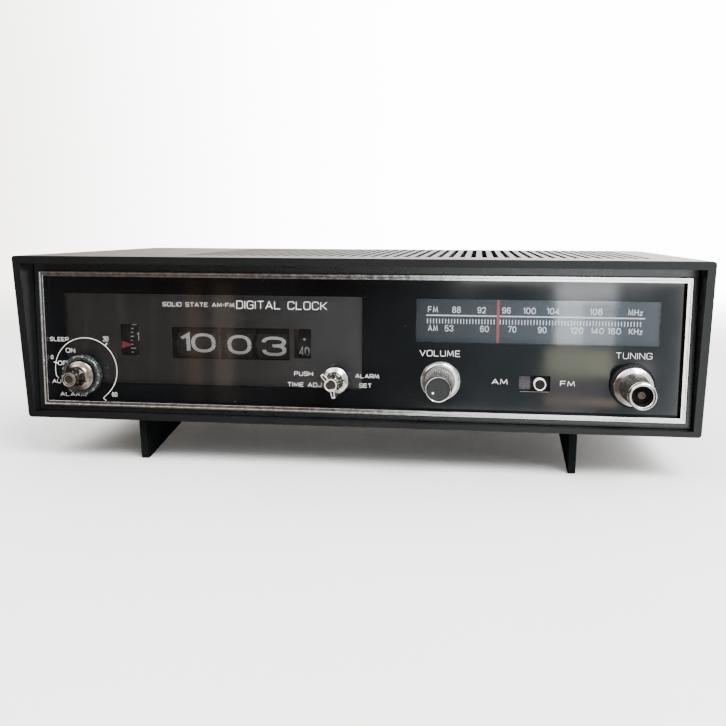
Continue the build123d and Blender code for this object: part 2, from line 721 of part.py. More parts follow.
def tuning_capacitor():
    """The frame and fixed plates of the tuning capacitor."""
    x, z = DRUM_AXIS
    frame = block(x - 17, x + 17, 38.0, 40.0, z - 20, z + 15)
    frame += block(x - 17, x + 17, 60.0, 62.0, z - 20, z + 15)
    frame += block(x - 17, x + 17, 38.0, 62.0, z - 20, z - 17.5)
    frame -= rod_y(x, z, 2.56, 37.0, 63.0)
    for index in range(4):
        depth = 44.7 + index * 3.4
        stator = block(x - 15, x + 15, depth, depth + 1.0, z - 17.6, z - 3.6)
        frame += stator - rod_y(x, z, 3.4, depth - 1, depth + 2)
    return frame + block(x - 10, x + 10, 38.0, 62.0, TRAY_TOP, z - 20)


CORD_TOP = 101.2
CORD_Y = 20.0
PULLEYS = (34.0, 163.0)


def cord_pulleys():
    """Two small pulleys at the ends of the dial cord's run, on their posts."""
    pulleys = []
    for x in PULLEYS:
        pulley = rod_y(x, CORD_TOP - 4.0, 3.4, CORD_Y - 2, CORD_Y - 1)
        pulley += rod_y(x, CORD_TOP - 4.0, 3.4, CORD_Y + 1, CORD_Y + 2)
        pulley += rod_y(x, CORD_TOP - 4.0, 2.2, CORD_Y - 1, CORD_Y + 1)
        pulley += rod_y(x, CORD_TOP - 4.0, 0.8, CORD_Y - 11.8, CORD_Y + 2.6)
        pulleys.append(pulley)
    return pulleys


def dial_cord():
    """The closed loop of dial cord between the pulleys."""
    centre = CORD_TOP - 4.0
    left, right = PULLEYS
    plane = Plane(origin=((left + right) / 2, CORD_Y + 0.3, centre), x_dir=(1, 0, 0),
                  z_dir=(0, -1, 0))
    outer = SlotCenterToCenter(right - left, 2 * 2.9)
    inner = SlotCenterToCenter(right - left, 2 * 2.25)
    return extrude(plane * (outer - inner), amount=0.6, dir=(0, -1, 0))


def dial_lamps():
    """Two small lamps that light the tuning scale from above its ends."""
    lamps = []
    for x in (40.0, 150.0):
        lamp = rod_y(x, 86.0, 2.4, 15.0, 22.0) + rod_y(x, 86.0, 3.0, 22.0, 27.0)
        lamps.append(lamp)
    return lamps


def band_switch_button():
    """The round slide button and the tongue that covers its slot."""
    x, z = BAND_BUTTON
    button = rod_y(x, z, 3.25, 0.6, 7.0)
    return button + block(x - 11.0, x + 9.0, 6.6, 7.6, z - 4.8, z + 4.8)


def band_switch_body():
    """The slide switch behind the panel."""
    x = (SWITCH_SLOT[0] + SWITCH_SLOT[1]) / 2
    z = BAND_BUTTON[1]
    body = block(x - 19, x + 19, 7.9, 17.0, z - 6.0, z + 6.0)
    return body + block(x - 12, x + 12, 13.0, 17.0, TRAY_TOP, z - 6.0)


def circuit_board():
    """The radio's printed circuit board on four posts."""
    board = block(2.0, 164.0, 72.0, 180.0, 34.0, 35.6)
    for x in (8.0, 158.0):
        for y in (78.0, 174.0):
            board += rod_z(x, y, 2.5, TRAY_TOP, 34.0)
    return board


BOARD_TOP = 35.6


def if_transformers():
    """A row of screened tuned coils."""
    cans = []
    for index in range(5):
        x = 84.0 + index * 15.0
        cans.append(block(x - 4, x + 4, 88.0, 96.0, BOARD_TOP, BOARD_TOP + 11))
    return cans


def electrolytic_capacitors():
    """Smoothing and coupling capacitors of three sizes."""
    places = ((96, 120, 8, 26), (118, 124, 5, 16), (132, 118, 4, 12), (146, 126, 6.5, 20),
              (100, 150, 4, 12), (128, 152, 5, 14))
    return [rod_z(x, y, radius, BOARD_TOP, BOARD_TOP + height) for x, y, radius, height in places]


def power_transformer():
    """The mains transformer: a laminated core round a wound bobbin."""
    core = block(-122, -74, 128, 168, TRAY_TOP, TRAY_TOP + 40)
    winding = block(-115, -81, 120, 176, TRAY_TOP + 7, TRAY_TOP + 33)
    return core + winding


def speaker_frame():
    """The loudspeaker's round frame, held under the slotted top, with its magnet."""
    x, y = SPEAKER
    top = INSIDE_TOP - 2.7
    rim = rod_z(x, y, SPEAKER_RADIUS, top - 2.0, top) - rod_z(x, y, 39.0, top - 3, top + 1)
    basket = Pos(x, y, top - 13.0) * Cone(22.0, 41.0, 22.0)
    basket -= Pos(x, y, top - 12.0) * Cone(20.8, 39.8, 24.0)
    for index in range(4):
        turn = 45 + index * 90
        window = Pos(x, y, 0) * Rot(0, 0, turn) * block(20, 60, -9, 9, top - 19, top - 6)
        basket -= window
    floor = rod_z(x, y, 22.0, top - 25.5, top - 23.5)
    magnet = rod_z(x, y, 21.0, top - 39.5, top - 25.5)
    return [rim + basket + floor, magnet]


def speaker_cone():
    """The paper cone inside the frame."""
    x, y = SPEAKER
    top = INSIDE_TOP - 2.7
    cone = Pos(x, y, top - 10.2) * Cone(11.0, 37.0, 15.0)
    cone -= Pos(x, y, top - 9.0) * Cone(10.6, 36.6, 15.2)
    return cone + Pos(x, y, top - 17.0) * Sphere(10.0, arc_size1=0)


def ferrite_antenna():
    """The aerial rod and its coil, clipped along the back."""
    rod = rod_x(176.0, 92.0, 4.8, -70.0, 60.0)
    rod += rod_x(176.0, 92.0, 6.0, 10.0, 44.0)
    for x in (-64.0, 54.0):
        rod += block(x - 2, x + 2, 176.0, 190.4, 89.0, 95.0)
    return rod


def main():
    os.makedirs("parts", exist_ok=True)
    single = {
        "cabinet_shell": cabinet_shell(),
        "rear_cover": rear_cover(),
        "power_cord_gland": power_cord_gland(),
        "left_foot_runner": foot_runner(-RUNNER_X),
        "right_foot_runner": foot_runner(RUNNER_X),
        "chassis_tray": chassis_tray(),
        "front_bezel": front_bezel(),
        "chrome_trim": chrome_trim(),
        "front_panel": front_panel(),
        "clock_window": clock_window(),
        "dial_window": dial_window(),
        "digit_mask": digit_mask(),
        "alarm_pointer": alarm_pointer(),
        "dial_backing": dial_backing(),
        "pointer_rail": pointer_rail(),
        "dial_pointer": dial_pointer(),
        "clock_motor": clock_motor(),
        "motor_pinion": motor_pinion(),
        "seconds_drum": seconds_drum(),
        "alarm_drum": alarm_drum(),
        "set_shaft": set_shaft(),
        "setting_gear": setting_gear(),
        "time_set_knob": time_set_knob(),
        "selector_knob": selector_knob(),
        "sleep_ring": sleep_ring(),
        "selector_switch": selector_switch(),
        "volume_knob": volume_knob(),
        "volume_potentiometer": volume_potentiometer(),
        "tuning_knob": tuning_knob(),
        "tuning_shaft": tuning_shaft(),
        "cord_drum": cord_drum(),
        "capacitor_rotor": capacitor_rotor(),
        "tuning_capacitor": tuning_capacitor(),
        "dial_cord": dial_cord(),
        "band_switch_button": band_switch_button(),
        "band_switch_body": band_switch_body(),
        "circuit_board": circuit_board(),
        "power_transformer": power_transformer(),
        "speaker_cone": speaker_cone(),
        "ferrite_antenna": ferrite_antenna(),
    }
    groups = {
        "cabinet_screws": cabinet_screws(),
        "clock_frame_plates": clock_frame_plates(),
        "frame_pillars": frame_pillars(),
        "clock_arbors": clock_arbors(),
        "volume_trim": volume_trim(),
        "tuning_trim": tuning_trim(),
        "cord_pulleys": cord_pulleys(),
        "dial_lamps": dial_lamps(),
        "if_transformers": if_transformers(),
        "electrolytic_capacitors": electrolytic_capacitors(),
        "speaker_frame": speaker_frame(),
    }
    drums = {
        "hour": (HOUR_SPAN, HOUR_LEAF_COUNT),
        "tens": (TENS_SPAN, TENS_LEAF_COUNT),
        "units": (UNITS_SPAN, UNITS_LEAF_COUNT),
    }
    for name, (span, leaf_count) in drums.items():
        single[f"{name}_drum"] = digit_drum(span, leaf_count)
        single[f"{name}_falling_leaf"] = falling_leaf(span)
        groups[f"{name}_leaves"] = drum_leaves(span, leaf_count)
    for name, solid in single.items():
        save(name, solid)
    for name, solids in groups.items():
        save(name, *solids)
    print(len(single) + len(groups), "nodes")


main()
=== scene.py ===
import json
import math

import bmesh
import bpy
from mathutils import Matrix, Vector


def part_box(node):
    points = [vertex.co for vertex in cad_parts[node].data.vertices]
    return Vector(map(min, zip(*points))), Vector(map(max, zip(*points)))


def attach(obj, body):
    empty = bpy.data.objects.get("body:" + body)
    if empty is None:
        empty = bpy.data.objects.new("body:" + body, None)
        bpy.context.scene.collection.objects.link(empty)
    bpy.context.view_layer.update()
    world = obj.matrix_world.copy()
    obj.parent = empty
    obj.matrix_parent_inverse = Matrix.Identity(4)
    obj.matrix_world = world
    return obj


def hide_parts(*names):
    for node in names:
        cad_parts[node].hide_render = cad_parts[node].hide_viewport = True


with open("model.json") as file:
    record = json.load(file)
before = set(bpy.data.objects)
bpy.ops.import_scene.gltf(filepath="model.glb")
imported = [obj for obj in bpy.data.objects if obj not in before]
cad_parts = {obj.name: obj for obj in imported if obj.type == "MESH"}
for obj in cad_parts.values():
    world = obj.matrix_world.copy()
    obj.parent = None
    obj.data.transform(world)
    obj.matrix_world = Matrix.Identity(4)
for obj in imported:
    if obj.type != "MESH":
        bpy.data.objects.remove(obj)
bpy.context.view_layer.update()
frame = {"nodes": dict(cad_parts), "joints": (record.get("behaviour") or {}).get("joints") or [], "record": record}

# Lengths are in millimetres, and at() turns them into the frame's metres.
MM = 0.001
FRONT_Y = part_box("chrome_trim")[0].y
PANEL_FRONT = 4.0
DIAL_PLATE = (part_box("dial_backing")[0].y - FRONT_Y) / MM
EYE_X = 64.35
EYE_Z = 124.47
EYE_DEPTH = -455.62
LENS_TO_CAMERA = 455.6
LENS_LENGTH = 44.772
YAW, PITCH, ROLL = 0.126505, 0.147586, 0.004401
PRINT = 0.05
PRINT_ROOT = 0.01
STROKE_CLIMB = 0.012
STROKE_STEP = 0.015
STROKE_SPAN = 0.5
MITRE_LIMIT = 2.2
SLOT_FLOOR = 100.0
SLOT_REACH = 160.0
FINISH = {}

JOINT_POS = {
    joint["name"]: Vector(joint["pos_m"]) / MM
    for joint in frame["joints"] if joint["type"] == "hinge"
}


def joint_axis(name):
    """The x and z, in millimetres, of a control that turns about Y."""
    return JOINT_POS[name].x, JOINT_POS[name].z


def heading(degrees):
    """A unit vector at an angle from the first axis."""
    return Vector((math.cos(math.radians(degrees)), math.sin(math.radians(degrees))))


def rectangle(left, right, low, high):
    """The corners of an upright rectangle."""
    return [(left, low), (right, low), (right, high), (left, high)]


def at(x, depth, z):
    """A point from millimetres: x, depth behind the trim's front plane, and z."""
    return Vector((x * MM, FRONT_Y + depth * MM, z * MM))


# ---------------- materials

def new_material(name, colour, rough, metal=0.0, specular=0.5):
    """A material, kept in FINISH, with uniform values on its shader's own sockets."""
    material = FINISH[name] = bpy.data.materials.new(name)
    material.use_nodes = True
    sockets = shader_of(material).inputs
    sockets["Base Color"].default_value = (*colour, 1.0)
    sockets["Roughness"].default_value = rough
    sockets["Metallic"].default_value = metal
    sockets["Specular IOR Level"].default_value = specular
    return material


def shader_of(material):
    return material.node_tree.nodes["Principled BSDF"]


def node(material, kind, **values):
    """A new shader node with some of its inputs set."""
    made = material.node_tree.nodes.new(kind)
    for key, value in values.items():
        made.inputs[key.replace("_", " ")].default_value = value
    return made


def link(material, source, target):
    material.node_tree.links.new(source, target)


def shade(material, **sources):
    """Links each source to the shader's socket of its name."""
    for key, source in sources.items():
        link(material, source, shader_of(material).inputs[key.replace("_", " ")])


def where(material, kind="Object"):
    """The place of each point of the surface."""
    return node(material, "ShaderNodeTexCoord").outputs[kind]


def parts_of(material, source):
    """The X, Y and Z of a vector."""
    made = node(material, "ShaderNodeSeparateXYZ")
    link(material, source, made.inputs["Vector"])
    return made.outputs


def maths(material, operation, *values):
    """The result of a calculation on sockets or numbers."""
    made = node(material, "ShaderNodeMath")
    made.operation = operation
    for socket, value in zip(made.inputs, values):
        if isinstance(value, float):
            socket.default_value = value
        else:
            link(material, value, socket)
    return made.outputs["Value"]


def noise(material, scale, detail=3.0, stretch=(1.0, 1.0, 1.0)):
    """Noise in object space, with scale in features per metre."""
    mapping = node(material, "ShaderNodeMapping", Scale=stretch)
    texture = node(material, "ShaderNodeTexNoise", Scale=scale, Detail=detail)
    link(material, where(material), mapping.inputs["Vector"])
    link(material, mapping.outputs["Vector"], texture.inputs["Vector"])
    return texture.outputs["Fac"]


def ramp(material, source, low, high, colour_low, colour_high):
    """Maps a factor to a blend of two colours between low and high."""
    made = node(material, "ShaderNodeValToRGB")
    made.color_ramp.elements[0].position = low
    made.color_ramp.elements[0].color = (*colour_low, 1.0)
    made.color_ramp.elements[1].position = high
    made.color_ramp.elements[1].color = (*colour_high, 1.0)
    link(material, source, made.inputs["Fac"])
    return made.outputs["Color"]


def blend_colours(material, factor, first, second):
    """A mix of two colours, each a tuple or a socket."""
    made = node(material, "ShaderNodeMix")
    made.data_type = "RGBA"
    link(material, factor, made.inputs["Factor"])
    for name, value in (("A", first), ("B", second)):
        if isinstance(value, tuple):
            made.inputs[name].default_value = (*value, 1.0)
        else:
            link(material, value, made.inputs[name])
    return made.outputs["Result"]


def map_range(material, source, low, high, start=0.0, end=1.0, kind="LINEAR"):
    """Maps the range from low to high on to the range from start to end."""
    made = node(material, "ShaderNodeMapRange", From_Min=low, From_Max=high, To_Min=start,
                To_Max=end)
    made.interpolation_type = kind
    link(material, source, made.inputs["Value"])
    return made.outputs["Result"]


def smooth_range(material, source, low, high):
    """A smooth step from 0 at low to 1 at high."""
    return map_range(material, source, low, high, kind="SMOOTHSTEP")


def spread(material, source, low, high):
    """Maps noise to a range of values, for roughness."""
    return map_range(material, source, 0.3, 0.7, low, high)


def bump(material, source, strength, distance):
    made = node(material, "ShaderNodeBump", Strength=strength, Distance=distance * MM)
    link(material, source, made.inputs["Height"])
    shade(material, Normal=made.outputs["Normal"])


def show_mix(material, factor, first, second):
    """Shows a mix of two shader nodes as the material's surface."""
    mix = node(material, "ShaderNodeMixShader")
    link(material, factor, mix.inputs["Fac"])
    link(material, first.outputs["BSDF"], mix.inputs[1])
    link(material, second.outputs["BSDF"], mix.inputs[2])
    link(material, mix.outputs["Shader"],
         material.node_tree.nodes["Material Output"].inputs["Surface"])


def moulded(name, colour, rough, tone=0.25, grain=1400.0, grain_depth=0.05, uneven=0.06,
            **more):
    """Moulded plastic: a fine grain, slow colour drift and uneven sheen."""
    material = new_material(name, colour, rough, **more)
    darker = tuple(channel * (1 - tone) for channel in colour)
    lighter = tuple(channel * (1 + tone) for channel in colour)
    drift = noise(material, 18.0, 4.0)
    sheen = noise(material, 160.0, 5.0)
    shade(material, Base_Color=ramp(material, drift, 0.3, 0.7, darker, lighter),
          Roughness=spread(material, sheen, rough - uneven, rough + uneven))
    bump(material, noise(material, grain, 2.0), 0.5, grain_depth)
    return material


def metal(name, colour, rough, streak=(1.0, 1.0, 1.0), scale=300.0, tone=0.12, metallic=1.0):
    """Bare or plated metal, with streaks or blotches in its colour and polish."""
    material = new_material(name, colour, rough, metallic)
    marks = noise(material, scale, 4.0, streak)
    darker = tuple(channel * (1 - tone) for channel in colour)
    shade(material, Base_Color=ramp(material, marks, 0.35, 0.65, darker, colour),
          Roughness=spread(material, marks, rough * 0.7, rough * 1.4))
    bump(material, marks, 0.3, 0.01)
    return material


def mask_paint():
    """The matt grey mask, with slow drifts, faint upright streaks of painted reflection, and painted light that
    makes it lighter towards the right.
    """
    made = moulded("mask_paint", (0.018, 0.0182, 0.0176), 0.62, tone=0.3, grain_depth=0.02)
    drift = shader_of(made).inputs["Base Color"].links[0].from_socket
    # Lighter upright streaks: painted reflection, standing in for streaky reflections on the mask.
    reflection_streaks = noise(made, 90.0, 3.0, (1.0, 1.0, 0.12))
    share = smooth_range(made, reflection_streaks, 0.45, 0.75)
    streaked = blend_colours(made, share, drift, (0.036, 0.0355, 0.034))
    # Lighter towards the right: painted light, standing in for the room light that falls from the right.
    light_from_right = smooth_range(made, parts_of(made, where(made))["X"], -0.075, 0.005)
    shade(made, Base_Color=blend_colours(made, light_from_right, streaked, (0.072, 0.073, 0.073)))


def ridged(name, groove, ridge, rough, metallic):
    """Knurls, with painted shade dark in the grooves and painted highlights bright along the ridges."""
    material = new_material(name, ridge, rough, metallic)
    height = node(material, "ShaderNodeNewGeometry").outputs["Pointiness"]
    worn = noise(material, 700.0)
    # Painted shade in the grooves and painted highlights on the ridges, by pointiness.
    ridge_highlight_groove_shade = ramp(material, height, 0.485, 0.53, groove, ridge)
    share = smooth_range(material, worn, 0.35, 0.7)
    dulled = tuple((low + high) / 3 for low, high in zip(groove, ridge))
    shade(material, Base_Color=blend_colours(material, share, ridge_highlight_groove_shade, dulled),
          Roughness=spread(material, worn, rough * 0.8, rough * 1.3))


def acrylic():
    """Gloss black acrylic with a faint haze and a few specks of dust."""
    material = new_material("panel_acrylic", (0.002, 0.002, 0.003), 0.045, specular=0.4)
    haze = noise(material, 26.0, 5.0)
    tint = ramp(material, haze, 0.35, 0.75, (0.0010, 0.0014, 0.0017), (0.0028, 0.0034, 0.0042))
    cells = node(material, "ShaderNodeTexVoronoi", Scale=150.0)
    link(material, where(material), cells.inputs["Vector"])
    specks = ramp(material, cells.outputs["Distance"], 0.035, 0.05, (1, 1, 1), (0, 0, 0))
    patches = ramp(material, noise(material, 20.0, 2.0), 0.52, 0.62, (0, 0, 0), (1, 1, 1))
    dust = maths(material, "MULTIPLY", specks, patches)
    shade(material, Base_Color=blend_colours(material, dust, tint, (0.06, 0.065, 0.07)),
          Roughness=spread(material, haze, 0.03, 0.09))


def lens(name, tint):
    """A thin clear pane: tinted see-through, with gloss that grows at low angles."""
    material = new_material(name, (0.96, 0.97, 0.98), 0.04, 1.0)
    clear = node(material, "ShaderNodeBsdfTransparent", Color=(*tint, 1.0))
    gloss = node(material, "ShaderNodeFresnel", IOR=1.62)
    show_mix(material, gloss.outputs["Fac"], clear, shader_of(material))


def smoky_plastic():
    """The see-through grey plastic of the notched ring."""
    material = new_material("smoke_plastic", (0.10, 0.115, 0.11), 0.16, specular=0.8)
    shader_of(material).inputs["Alpha"].default_value = 0.72
    swirl = noise(material, 500.0)
    shade(material, Base_Color=ramp(material, swirl, 0.3, 0.7, (0.010, 0.012, 0.012),
                                    (0.035, 0.04, 0.04)))
    bump(material, swirl, 0.2, 0.05)


def ink(name, colour, glow=0.0):
    """Screen-printed ink, slightly uneven, with a painted glow of the given strength."""
    material = new_material(name, colour, 0.5, specular=0.3)
    thin = tuple(channel * 0.8 for channel in colour)
    cover = noise(material, 900.0, 2.0)
    shade(material, Base_Color=ramp(material, cover, 0.35, 0.6, thin, colour))
    # Painted light: the ink glows by itself, though it is no lamp.
    shader_of(material).inputs["Emission Color"].default_value = (*colour, 1.0)
    shader_of(material).inputs["Emission Strength"].default_value = glow


def trim_chrome():
    """Bright chrome on the faces that look forward, and painted shade on the walls: black and not metallic."""
    made = metal("trim_chrome", (0.80, 0.79, 0.77), 0.14, streak=(6, 1, 6), scale=60.0, tone=0.3)
    facing_way = node(made, "ShaderNodeNewGeometry").outputs["True Normal"]
    forward = map_range(made, parts_of(made, facing_way)["Y"], -0.35, -0.15, 1.0, 0.0)
    bright = shader_of(made).inputs["Base Color"].links[0].from_socket
    # The walls get painted shade: black wherever the chrome faces sideways.
    walls_in_painted_shade = blend_colours(made, forward, (0.004, 0.004, 0.004), bright)
    shade(made, Metallic=forward, Base_Color=walls_in_painted_shade)


# The finish of each slot, by its name.
moulded("cabinet_plastic", (0.0022, 0.0028, 0.0028), 0.34, uneven=0.02, specular=0.42)
moulded("bezel_plastic", (0.0022, 0.0026, 0.0027), 0.28, grain_depth=0.02, uneven=0.02,
        specular=0.75)
metal("bright_chrome", (0.86, 0.85, 0.84), 0.10)
acrylic()
lens("clear_lens", (0.93, 0.93, 0.94))
mask_paint()
moulded("dial_black", (0.030, 0.044, 0.058), 0.55, grain_depth=0.01)
moulded("pointer_red", (0.72, 0.05, 0.06), 0.35, tone=0.1, grain_depth=0.01)
moulded("knob_plastic", (0.006, 0.006, 0.006), 0.38, grain_depth=0.02, specular=0.3)
smoky_plastic()
moulded("leaf_plastic", (0.017, 0.0175, 0.0175), 0.55, grain_depth=0.01)
moulded("drum_plastic", (0.010, 0.0105, 0.011), 0.50, grain_depth=0.01)
metal("plate_steel", (0.55, 0.55, 0.53), 0.32, streak=(1, 1, 14))
metal("works_brass", (0.72, 0.55, 0.24), 0.26, scale=500.0)
metal("motor_can", (0.36, 0.37, 0.38), 0.40, metallic=0.7)
moulded("board_laminate", (0.33, 0.19, 0.08), 0.45, grain=500.0)
metal("coil_can", (0.72, 0.72, 0.73), 0.30, streak=(8, 8, 1))
moulded("capacitor_sleeve", (0.035, 0.07, 0.24), 0.25, tone=0.1)
metal("core_iron", (0.16, 0.14, 0.12), 0.48, streak=(1, 90, 1), scale=40.0, metallic=0.5)
moulded("speaker_steel", (0.03, 0.03, 0.032), 0.38)
moulded("cone_paper", (0.05, 0.047, 0.042), 0.85, grain=900.0, grain_depth=0.1)
moulded("ferrite", (0.05, 0.05, 0.055), 0.5)
moulded("cord_nylon", (0.70, 0.67, 0.58), 0.7, tone=0.1, grain=3000.0)
lens("lamp_glass", (0.98, 0.94, 0.86))
moulded("gland_rubber", (0.012, 0.012, 0.012), 0.62)
# White print with a painted glow.
ink("print_white", (0.82, 0.82, 0.80), glow=0.3)

# Finishes of single nodes and pieces.
moulded("slot_plastic", (0.0022, 0.0028, 0.0028), 0.7, specular=0.06)
# Metal knurls with painted shade in the grooves and painted highlights on the ridges.
ridged("knurl_metal", (0.004, 0.004, 0.003), (0.30, 0.285, 0.235), 0.30, 0.8)
metal("knob_face", (0.018, 0.0185, 0.019), 0.34, scale=260.0, metallic=0.4)
metal("brown_cup", (0.016, 0.012, 0.008), 0.38, scale=600.0, metallic=0.3)
metal("brown_boss", (0.075, 0.052, 0.04), 0.4, scale=600.0, metallic=0.5)
metal("aged_chrome", (0.24, 0.205, 0.175), 0.16, scale=420.0, tone=0.55)
moulded("grip_plate", (0.024, 0.021, 0.029), 0.3, tone=0.6, grain_depth=0.08)
# Plastic knurls with painted shade in the grooves and painted highlights on the ridges.
ridged("knurl_plastic", (0.002, 0.002, 0.0015), (0.11, 0.105, 0.09), 0.28, 0.6)
metal("worn_chrome", (0.62, 0.60, 0.56), 0.13, scale=420.0, tone=0.5)
moulded("matt_black", (0.004, 0.004, 0.004), 0.7, specular=0.2)
moulded("runner_plastic", (0.0045, 0.0052, 0.0052), 0.7, specular=0.0)
# Dark steel as painted shade, for the movement's plates and arbors seen in shadow through the gaps.
metal("shade_darkened_steel", (0.022, 0.021, 0.02), 0.5, streak=(1, 1, 14), metallic=0.4)
# Dial print with a stronger painted glow, standing in for light on the dial.
ink("dial_ink", (0.80, 0.83, 0.85), glow=0.8)
metal("satin_edge", (0.72, 0.70, 0.66), 0.34, scale=700.0, tone=0.3, metallic=0.35)
metal("tan_edge", (0.17, 0.14, 0.115), 0.34, scale=700.0, tone=0.4, metallic=0.35)
# Light grey for the slivers on the smoky ring's notch flanks: painted highlights.
metal("smoke_edge_highlight", (0.30, 0.31, 0.31), 0.3, scale=900.0, tone=0.6, metallic=0.2)
ink("digit_ink", (0.66, 0.66, 0.62))
moulded("alarm_red", (0.36, 0.028, 0.034), 0.45, grain_depth=0.01)
trim_chrome()
OWN_FINISH = {
    "left_foot_runner": "runner_plastic",
    "right_foot_runner": "runner_plastic",
    # Plates and arbors darkened as painted shade in the gaps between the drums.
    "clock_frame_plates": "shade_darkened_steel",
    "clock_arbors": "shade_darkened_steel",
    "alarm_pointer": "alarm_red",
    "chrome_trim": "trim_chrome",
}


def finish_nodes():
    """Gives every CAD node a finish of its own, or else the one of its slot."""
    for entry in frame["record"]["subparts"]:
        mesh = frame["nodes"][entry["node"]].data
        mesh.materials.clear()
        mesh.materials.append(FINISH[OWN_FINISH.get(entry["node"], entry["material_slot"])])


def dull_slots():
    """Gives the side walls of the cooling slots a dull, dusty finish."""
    mesh = frame["nodes"]["cabinet_shell"].data
    mesh.materials.append(FINISH["slot_plastic"])
    for face in mesh.polygons:
        sideways = abs(face.normal.x) > 0.9
        high = face.center.z > SLOT_FLOOR * MM
        if sideways and high and abs(face.center.x) < SLOT_REACH * MM:
            face.material_index = 1


# ---------------- mesh tools

def put(name, data):
    """A new object in the scene."""
    made = bpy.data.objects.new(name, data)
    bpy.context.scene.collection.objects.link(made)
    return made


class Sketch:
    """Vertices and faces of one piece, gathered in metres."""

    def __init__(self):
        self.points = []
        self.faces = []

    def add(self, points, faces):
        first = len(self.points)
        self.points.extend(points)
        self.faces.extend([tuple(first + index for index in face) for face in faces])

    def piece(self, name, finish, body, crease=35.0):
        """Makes the object, with outward faces, and lets it ride on its body."""
        mesh = bpy.data.meshes.new(name)
        mesh.from_pydata(self.points, [], self.faces)
        work = bmesh.new()
        work.from_mesh(mesh)
        bmesh.ops.recalc_face_normals(work, faces=work.faces)
        work.to_mesh(mesh)
        work.free()
        mesh.shade_smooth()
        mesh.set_sharp_from_angle(angle=math.radians(crease))
        mesh.materials.append(FINISH[finish])
        made = put(name, mesh)
        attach(made, body)
        return made


def lathe(sketch, centre, outline, steps=96, ripple=None):
    """A solid turned about an axis along Y, from an outline of (radius, depth) points.

    The outline is closed, or starts and ends on the axis. ripple adds to the radius."""
    x, z = centre
    capped = outline[0][0] == 0
    ends = [at(x, outline[0][1], z), at(x, outline[-1][1], z)] if capped else []
    if capped:
        outline = outline[1:-1]
    rows = len(outline)
    points = []
    faces = []
    for step in range(steps):
        angle = 2 * math.pi * step / steps
        for radius, depth in outline:
            if ripple:
                radius += ripple(radius, depth, angle)
            points.append(at(x + radius * math.cos(angle), depth, z + radius * math.sin(angle)))
        this = step * rows
        following = (step + 1) % steps * rows
        for row in range(rows - 1 if capped else rows):
            above = (row + 1) % rows
            faces.append((this + row, this + above, following + above, following + row))
        if capped:
            faces.append((steps * rows, this, following))
            faces.append((steps * rows + 1, following + rows - 1, this + rows - 1))
    sketch.add(points + ends, faces)


def turned(name, finish, body, slot, centre, *outlines, steps=96, ripple=None, crease=35.0):
    """A piece made of one or more turned solids."""
    sketch = Sketch()
    for outline in outlines:
        lathe(sketch, centre, outline, steps, ripple)
    return sketch.piece(name, finish, body, crease)


def rounded(path, reach):
    """A path with its corners turned into curves; a third value of 0 keeps one sharp."""
    points = [Vector(corner[:2]) for corner in path]
    made = [points[0]]
    last = len(points) - 1
    for index in range(1, last):
        corner = points[index]
        if len(path[index]) == 3:
            made.append(corner)
            continue
        before = points[index - 1] - corner
        after = points[index + 1] - corner
        room_before = before.length * (1.0 if index == 1 else 0.5)
        room_after = after.length * (1.0 if index == last - 1 else 0.5)
        start = corner + before.normalized() * min(reach, room_before)
        end = corner + after.normalized() * min(reach, room_after)
        for step in range(7):
            t = step / 6
            bend = start * (1 - t) ** 2 + corner * (2 * t * (1 - t)) + end * t * t
            if (bend - made[-1]).length > 1e-5:
                made.append(bend)
    if (points[last] - made[-1]).length > 1e-5:
        made.append(points[last])
    return made


def divided(sides, step):
    """The same pairs of edge points with more between them, none further apart than step."""
    made = [sides[0]]
    for start, end in zip(sides, sides[1:]):
        longest = max((b - a).length for a, b in zip(start, end))
        count = max(1, math.ceil(longest / step))
        for index in range(1, count + 1):
            made.append(tuple(a.lerp(b, index / count) for a, b in zip(start, end)))
    return made


def stroke(sketch, path, width, place, lift=PRINT):
    """A flat stroke of even width along a path. place maps (u, v, lift) to a point.

    An open one thickens a little along its way, so that it never lies level with itself."""
    path = [Vector(point) for point in path]
    closed = (path[0] - path[-1]).length < 1e-4
    if closed:
        path = path[:-1]
    count = len(path)
    legs = [(after - before).normalized() for before, after in zip(path, path[1:] + path[:1])]
    sides = []
    for index, point in enumerate(path):
        incoming = legs[index - 1] if closed or index else legs[0]
        outgoing = legs[index] if closed or index < count - 1 else incoming
        along = (incoming + outgoing).normalized()
        across = Vector((-along.y, along.x))
        straight = Vector((-incoming.y, incoming.x))
        mitre = min(MITRE_LIMIT, 1 / max(0.3, across.dot(straight)))
        reach = across * width / 2 * mitre
        sides.append((point + reach, point - reach))
    if closed:
        sides = divided(sides + sides[:1], STROKE_SPAN)[:-1]
    else:
        sides = divided(sides, STROKE_SPAN)
    count = len(sides)
    climb = 0.0 if closed else STROKE_CLIMB / count
    points = []
    for index, (left, right) in enumerate(sides):
        for level in (PRINT_ROOT, lift + index * climb):
            points += [place(*left, level), place(*right, level)]
    faces = []
    for index in range(count if closed else count - 1):
        a = index * 4
        b = (index + 1) % count * 4
        for first, second in ((0, 1), (1, 3), (3, 2), (2, 0)):
            faces.append((a + first, a + second, b + second, b + first))
    if not closed:
        end = (count - 1) * 4
        faces += [(0, 1, 3, 2), (end, end + 1, end + 3, end + 2)]
    sketch.add(points, faces)


def prism(sketch, points):
    """A solid between two outlines of the same length, given one after the other."""
    count = len(points) // 2
    faces = [tuple(range(count)), tuple(range(count, 2 * count))]
    for index in range(count):
        following = (index + 1) % count
        faces.append((index, following, count + following, count + index))
    sketch.add(points, faces)


def patch(sketch, outline, place, lift=PRINT):
    """A flat filled shape from a convex outline."""
    prism(sketch, [place(u, v, level) for level in (PRINT_ROOT, lift) for u, v in outline])


